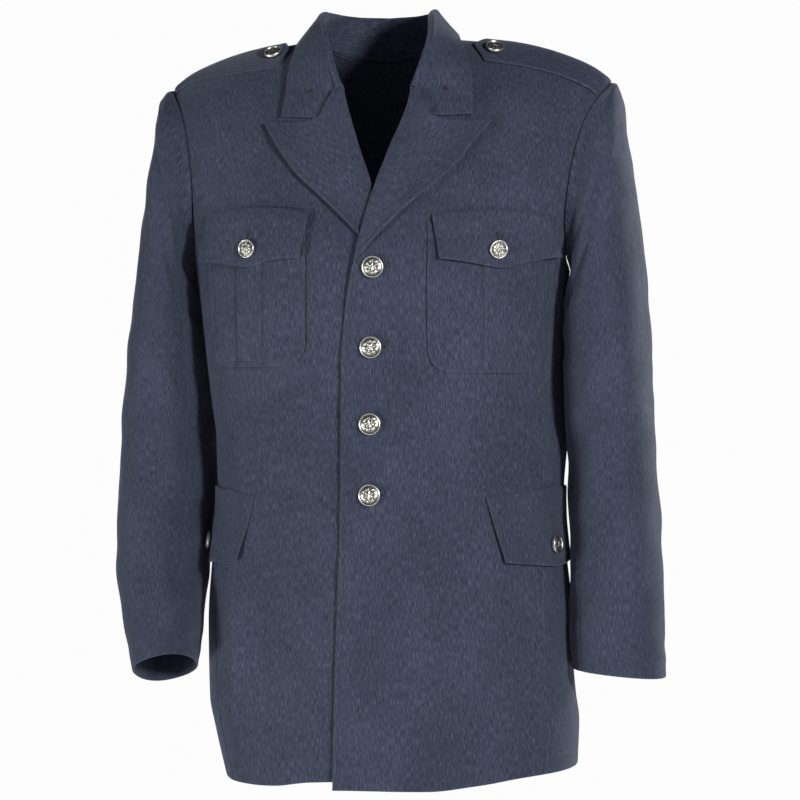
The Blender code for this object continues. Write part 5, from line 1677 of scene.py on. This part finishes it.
def make_buttons():
    def seat(place, *at):
        return lambda lift: place(*at, lift)

    for number, (across, height) in enumerate(FRONT_BUTTONS, 1):
        front_seat = seat(on_front, 1, across, height)
        add_button(f"button_front_{number}", FRONT_BUTTON, front_seat, turned=0.7 * number)
    for side in (1, -1):
        where = side_name(side)
        chest_seat = seat(chest_flap_place, side, CHEST_BUTTON_SHARE, CHEST_BUTTON_DOWN)
        hip_seat = seat(hip_flap_place, side, HIP_BUTTON_SHARE, HIP_BUTTON_DOWN)
        strap_seat = seat(strap_place, side, STRAP_BUTTON_ALONG, STRAP_BUTTON_OVER)
        add_button(f"button_chest_{where}", SMALL_BUTTON, chest_seat, turned=0.3 * side)
        add_button(f"button_hip_{where}", SMALL_BUTTON, hip_seat, turned=0.5 * side)
        add_button(f"button_epaulette_{where}", SMALL_BUTTON, strap_seat, CURVED_SEAT, 0.9 * side)


# Buttonholes: middle across and down or along their piece as shares, and the piece's size in
# the same two directions
CHEST_HOLE = (0.52, 0.53, 0.110, 0.053)
HIP_HOLE = (0.50, 0.53, 0.155, 0.075)
STRAP_HOLE = (0.18, 0.45, 0.130, 0.046)
PIN_HOLE = (PIN_ALONG, PIN_SHARE, COLLAR_HALF_LENGTH, COLLAR_WIDTH)
FRONT_HOLE_ASIDE = 0.0055

# Half length and half width of a slit, and the thickness of the thread round it
FRONT_SLIT = (0.0095, 0.0011, 0.0008)
SMALL_SLIT = (0.0085, 0.0011, 0.0008)
PIN_SLIT = (0.0018, 0.0015, 0.0006)

# A slit's lid of painted shade stands a little proud of the cloth and goes down into it
SLIT_TOP, SLIT_BOTTOM = 0.0007, -0.0006
SLIT_INSIDE = 0.85


def buttonhole_parts(place, half_length, half_width, thread):
    """The worked edge of a buttonhole, and a lid of painted shade in its slit. place(a, b, lift) gives
    points near its middle, with a along the slit and b across it."""
    count, around = 36, 8
    turn = np.arange(count) / count * 2 * math.pi
    cos, sin = np.cos(turn), np.sin(turn)
    a = cos * half_width + np.sign(cos) * (half_length - half_width)
    b = sin * half_width
    ring = []
    for t in np.arange(around) / around * 2 * math.pi:
        out = thread * np.cos(t)
        ring.append(place(a + out * cos, b + out * sin, thread * (0.1 + np.sin(t)) + 0 * a))
    ring = np.array(ring)
    grid = np.arange(around * count).reshape(around, count)
    up, on = np.roll(grid, -1, axis=0), np.roll(grid, -1, axis=1)
    both = np.roll(up, -1, axis=1)
    ring_faces = np.stack([grid, on, both, up], axis=-1).reshape(-1, 4)
    # A closed lid of painted shade fills the slit, from a little above the cloth to a little below it
    a, b = a * SLIT_INSIDE, b * SLIT_INSIDE
    slit = np.concatenate([place(a, b, 0 * a + lift) for lift in (SLIT_TOP, SLIT_BOTTOM)])
    lid = np.arange(count)
    slit_faces = [tuple(lid.tolist()), tuple((lid[::-1] + count).tolist())]
    slit_faces += [(k, k + count, (k + 1) % count + count, (k + 1) % count) for k in range(count)]
    return (leaned(ring).reshape(-1, 3), ring_faces.tolist()), (leaned(slit), slit_faces)


def join_parts(name, parts, finish):
    """Joins parts, each its points and faces, into one piece of one finish."""
    points, faces, offset = [], [], 0
    for part_points, part_faces in parts:
        points.append(part_points)
        faces += [tuple(i + offset for i in face) for face in part_faces]
        offset += len(part_points)
    mesh = bpy.data.meshes.new(name)
    mesh.from_pydata(np.concatenate(points).tolist(), [], faces)
    mesh.materials.append(finish)
    piece = link_object(name, mesh)
    turn_outwards(mesh)
    mesh.shade_smooth()
    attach(piece, "root")


def turn_outwards(mesh):
    work = bmesh.new()
    work.from_mesh(mesh)
    bmesh.ops.recalc_face_normals(work, faces=work.faces)
    work.to_mesh(mesh)
    work.free()


def upright_slit(place, side, hole):
    """place(a, b, lift) for a slit that runs down a flap."""
    across, down, width, height = hole
    return lambda a, b, lift: place(side, across + b / width, down + a / height, lift)


def level_slit(place, first, second, length, width):
    """place(a, b, lift) for a slit that runs along a strap or the collar."""
    return lambda a, b, lift: place(first + a / length, second + b / width, lift)


def make_buttonholes():
    holes = []
    for across, height in FRONT_BUTTONS:
        place = level_slit(partial(on_front, 1), across + FRONT_HOLE_ASIDE, height, 1, 1)
        holes.append(buttonhole_parts(place, *FRONT_SLIT))
    for side in (1, -1):
        for place in (
            upright_slit(chest_flap_place, side, CHEST_HOLE),
            upright_slit(hip_flap_place, side, HIP_HOLE),
            level_slit(partial(strap_place, side), *STRAP_HOLE),
        ):
            holes.append(buttonhole_parts(place, *SMALL_SLIT))

    def outside_collar(along, share, lift):
        return collar_place(along, share, -lift - PIN_LIFT)

    # The collar's pin holes: a worked ring, and a lid of painted shade in the hole
    for side in (1, -1):
        place = level_slit(outside_collar, side * PIN_HOLE[0], *PIN_HOLE[1:])
        holes.append(buttonhole_parts(place, *PIN_SLIT))
    # The lids of painted shade in the slits and pin holes go into one piece of their own
    threads, slit_shades = zip(*holes)
    join_parts("buttonhole_stitches", threads, BRAID)
    join_parts("buttonhole_slit_shades", slit_shades, SLIT_SHADE)


# What the stitching is told: the pitch, length and thickness of a stitch, and the seed
STITCH_INPUTS = (
    ("Pitch", "NodeSocketFloat", STITCH_PITCH),
    ("Length", "NodeSocketFloat", STITCH_LENGTH),
    ("Thread", "NodeSocketFloat", STITCH_THREAD),
    ("Seed", "NodeSocketInt", STITCH_SEED),
)


def stitch_tree():
    """Geometry Nodes that lay stitches along the edges of a mesh."""
    tree = bpy.data.node_groups.new("top_stitching", "GeometryNodeTree")
    face = tree.interface
    face.new_socket("Geometry", in_out="INPUT", socket_type="NodeSocketGeometry")
    for name, kind, value in STITCH_INPUTS:
        face.new_socket(name, in_out="INPUT", socket_type=kind).default_value = value
    face.new_socket("Finish", in_out="INPUT", socket_type="NodeSocketMaterial")
    face.new_socket("Geometry", in_out="OUTPUT", socket_type="NodeSocketGeometry")

    def add(kind, **settings):
        node = tree.nodes.new(kind)
        for key, value in settings.items():
            setattr(node, key, value)
        return node

    given, result = add("NodeGroupInput"), add("NodeGroupOutput")
    curve = add("GeometryNodeMeshToCurve")
    resample = add("GeometryNodeResampleCurve", mode="LENGTH")
    stitch = add("GeometryNodeMeshIcoSphere")
    set_inputs(stitch, {"Subdivisions": 1, "Radius": 0.5})
    tangent = add("GeometryNodeInputTangent")
    align = add("FunctionNodeAlignRotationToVector", axis="X")
    size = add("ShaderNodeCombineXYZ")
    uneven = add("FunctionNodeRandomValue", data_type="FLOAT")
    uneven.inputs[2].default_value, uneven.inputs[3].default_value = 0.82, 1.08
    length = add("ShaderNodeMath", operation="MULTIPLY")
    place = add("GeometryNodeInstanceOnPoints")
    realize = add("GeometryNodeRealizeInstances")
    smooth_faces = add("GeometryNodeSetShadeSmooth")
    finish = add("GeometryNodeSetMaterial")
    for source, output, target, socket in (
        (given, "Geometry", curve, "Mesh"),
        (curve, "Curve", resample, "Curve"),
        (given, "Pitch", resample, "Length"),
        (given, "Seed", uneven, "Seed"),
        (given, "Length", length, 0),
        (uneven, 1, length, 1),
        (length, 0, size, "X"),
        (given, "Thread", size, "Y"),
        (given, "Thread", size, "Z"),
        (tangent, "Tangent", align, "Vector"),
        (resample, "Curve", place, "Points"),
        (stitch, "Mesh", place, "Instance"),
        (align, "Rotation", place, "Rotation"),
        (size, "Vector", place, "Scale"),
        (place, "Instances", realize, "Geometry"),
        (realize, "Geometry", smooth_faces, "Geometry"),
        (smooth_faces, "Geometry", finish, "Geometry"),
        (given, "Finish", finish, "Material"),
        (finish, "Geometry", result, "Geometry"),
    ):
        tree.links.new(source.outputs[output], target.inputs[socket])
    return tree


def make_stitches():
    """Lays the stitches along all collected paths, as one piece."""
    points, edges = [], []
    for path in STITCHED:
        if len(path) > 1:
            first = len(points)
            points += path.tolist()
            edges += [(first + k, first + k + 1) for k in range(len(path) - 1)]
    mesh = bpy.data.meshes.new("stitch_paths")
    mesh.from_pydata(points, edges, [])
    guide = link_object("stitch_paths", mesh)
    tree = stitch_tree()
    sewing = guide.modifiers.new("sewing", "NODES")
    sewing.node_group = tree
    sockets = {s.name: s.identifier for s in tree.interface.items_tree if s.in_out == "INPUT"}
    for name, _, value in STITCH_INPUTS:
        sewing[sockets[name]] = value
    sewing[sockets["Finish"]] = BRAID
    deps = bpy.context.evaluated_depsgraph_get()
    made = bpy.data.meshes.new_from_object(guide.evaluated_get(deps))
    guide.modifiers.remove(sewing)
    bpy.data.objects.remove(guide)
    made.name = "top_stitching"
    piece = link_object("top_stitching", made)
    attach(piece, "root")


# The camera stands level with the middle of the jacket, a little to the wearer's left
CAMERA_TURN = math.radians(9)
CAMERA_AWAY = 2.8
CAMERA_HEIGHT = -0.372
CAMERA_ASIDE = 0.0104
FOCAL_LENGTH = 121.14
SENSOR = 36.0
FLOOR = -1.5
FLOOR_HALF = 4.0
AMBIENT = 0.19

# Name, place, width and power of each lamp. All of them aim at the middle of the chest.
LAMPS = (
    ("front_right", (1.5, -1.9, 0.10), 0.35, 44),
    ("left", (-1.9, -1.6, -0.85), 0.6, 31),
    ("back_left", (-1.3, 2.8, 0.5), 0.8, 48),
    ("back_right", (1.9, 2.2, 0.2), 0.6, 30),
)
LAMP_AIM = (0, 0, -0.3)


def make_camera():
    data = bpy.data.cameras.new("camera")
    data.lens = FOCAL_LENGTH
    data.sensor_width = SENSOR
    data.clip_start = 0.05
    camera = link_object("camera", data)
    right = Vector((math.cos(CAMERA_TURN), math.sin(CAMERA_TURN), 0))
    back = Vector((math.sin(CAMERA_TURN), -math.cos(CAMERA_TURN), 0))
    camera.location = Vector((0, 0, CAMERA_HEIGHT)) + right * CAMERA_ASIDE + back * CAMERA_AWAY
    camera.rotation_euler = (-back).to_track_quat("-Z", "Y").to_euler()
    bpy.context.scene.camera = camera


def add_lamp(name, place, width, power):
    data = bpy.data.lights.new(name, "AREA")
    data.shape = "DISK"
    data.size = width
    data.energy = power
    lamp = link_object(name, data)
    lamp.location = place
    lamp.rotation_euler = (Vector(LAMP_AIM) - Vector(place)).to_track_quat("-Z", "Y").to_euler()


def make_world():
    """A white backdrop for the camera, and a soft light that comes from the front and sides."""
    world = bpy.data.worlds.new("studio")
    bpy.context.scene.world = world
    world.use_nodes = True
    tree = world.node_tree
    behind = tree.nodes["Background"]
    set_inputs(behind, {"Color": (1.0, 1.0, 1.0, 1.0), "Strength": 0.98})
    around = tree.nodes.new("ShaderNodeBackground")
    around.inputs["Strength"].default_value = AMBIENT
    height = tree.nodes.new("ShaderNodeSeparateXYZ")
    tree.links.new(tree.nodes.new("ShaderNodeTexCoord").outputs["Generated"], height.inputs[0])
    raised = add_math(tree, "ADD", add_math(tree, "MULTIPLY", height.outputs["Z"], 0.5), 0.5)
    low, high, zenith = (0.93, 0.96, 1.0), (0.80, 0.83, 0.88), (0.25, 0.26, 0.28)
    sky = add_ramp(tree, raised, (0.45, low), (0.62, high), (0.95, zenith))
    tree.links.new(sky, around.inputs["Color"])
    rays = tree.nodes.new("ShaderNodeLightPath")
    either = tree.nodes.new("ShaderNodeMixShader")
    tree.links.new(rays.outputs["Is Camera Ray"], either.inputs[0])
    tree.links.new(around.outputs[0], either.inputs[1])
    tree.links.new(behind.outputs[0], either.inputs[2])
    tree.links.new(either.outputs[0], tree.nodes["World Output"].inputs["Surface"])


def make_floor():
    mesh = bpy.data.meshes.new("floor")
    corners = [(x * FLOOR_HALF, y * FLOOR_HALF, FLOOR) for x, y in ((-1, -1), (1, -1), (1, 1), (-1, 1))]
    mesh.from_pydata(corners, [], [(0, 1, 2, 3)])
    floor = link_object("floor", mesh)
    finish, _, shader = new_material("pale_floor", 0.9)
    shader.inputs["Base Color"].default_value = (0.86, 0.86, 0.86, 1)
    mesh.materials.append(finish)


make_camera()
bpy.context.scene.view_settings.view_transform = "Standard"
make_world()
for lamp in LAMPS:
    add_lamp(*lamp)
make_floor()
for side in (1, -1):
    make_body(side)
    make_sleeve(side)
    make_pocket(side)
    make_flaps(side)
    make_strap(side)
make_collar()
for side in (1, -1):
    make_lapel(side)
make_buttons()
make_buttonholes()
make_stitches()
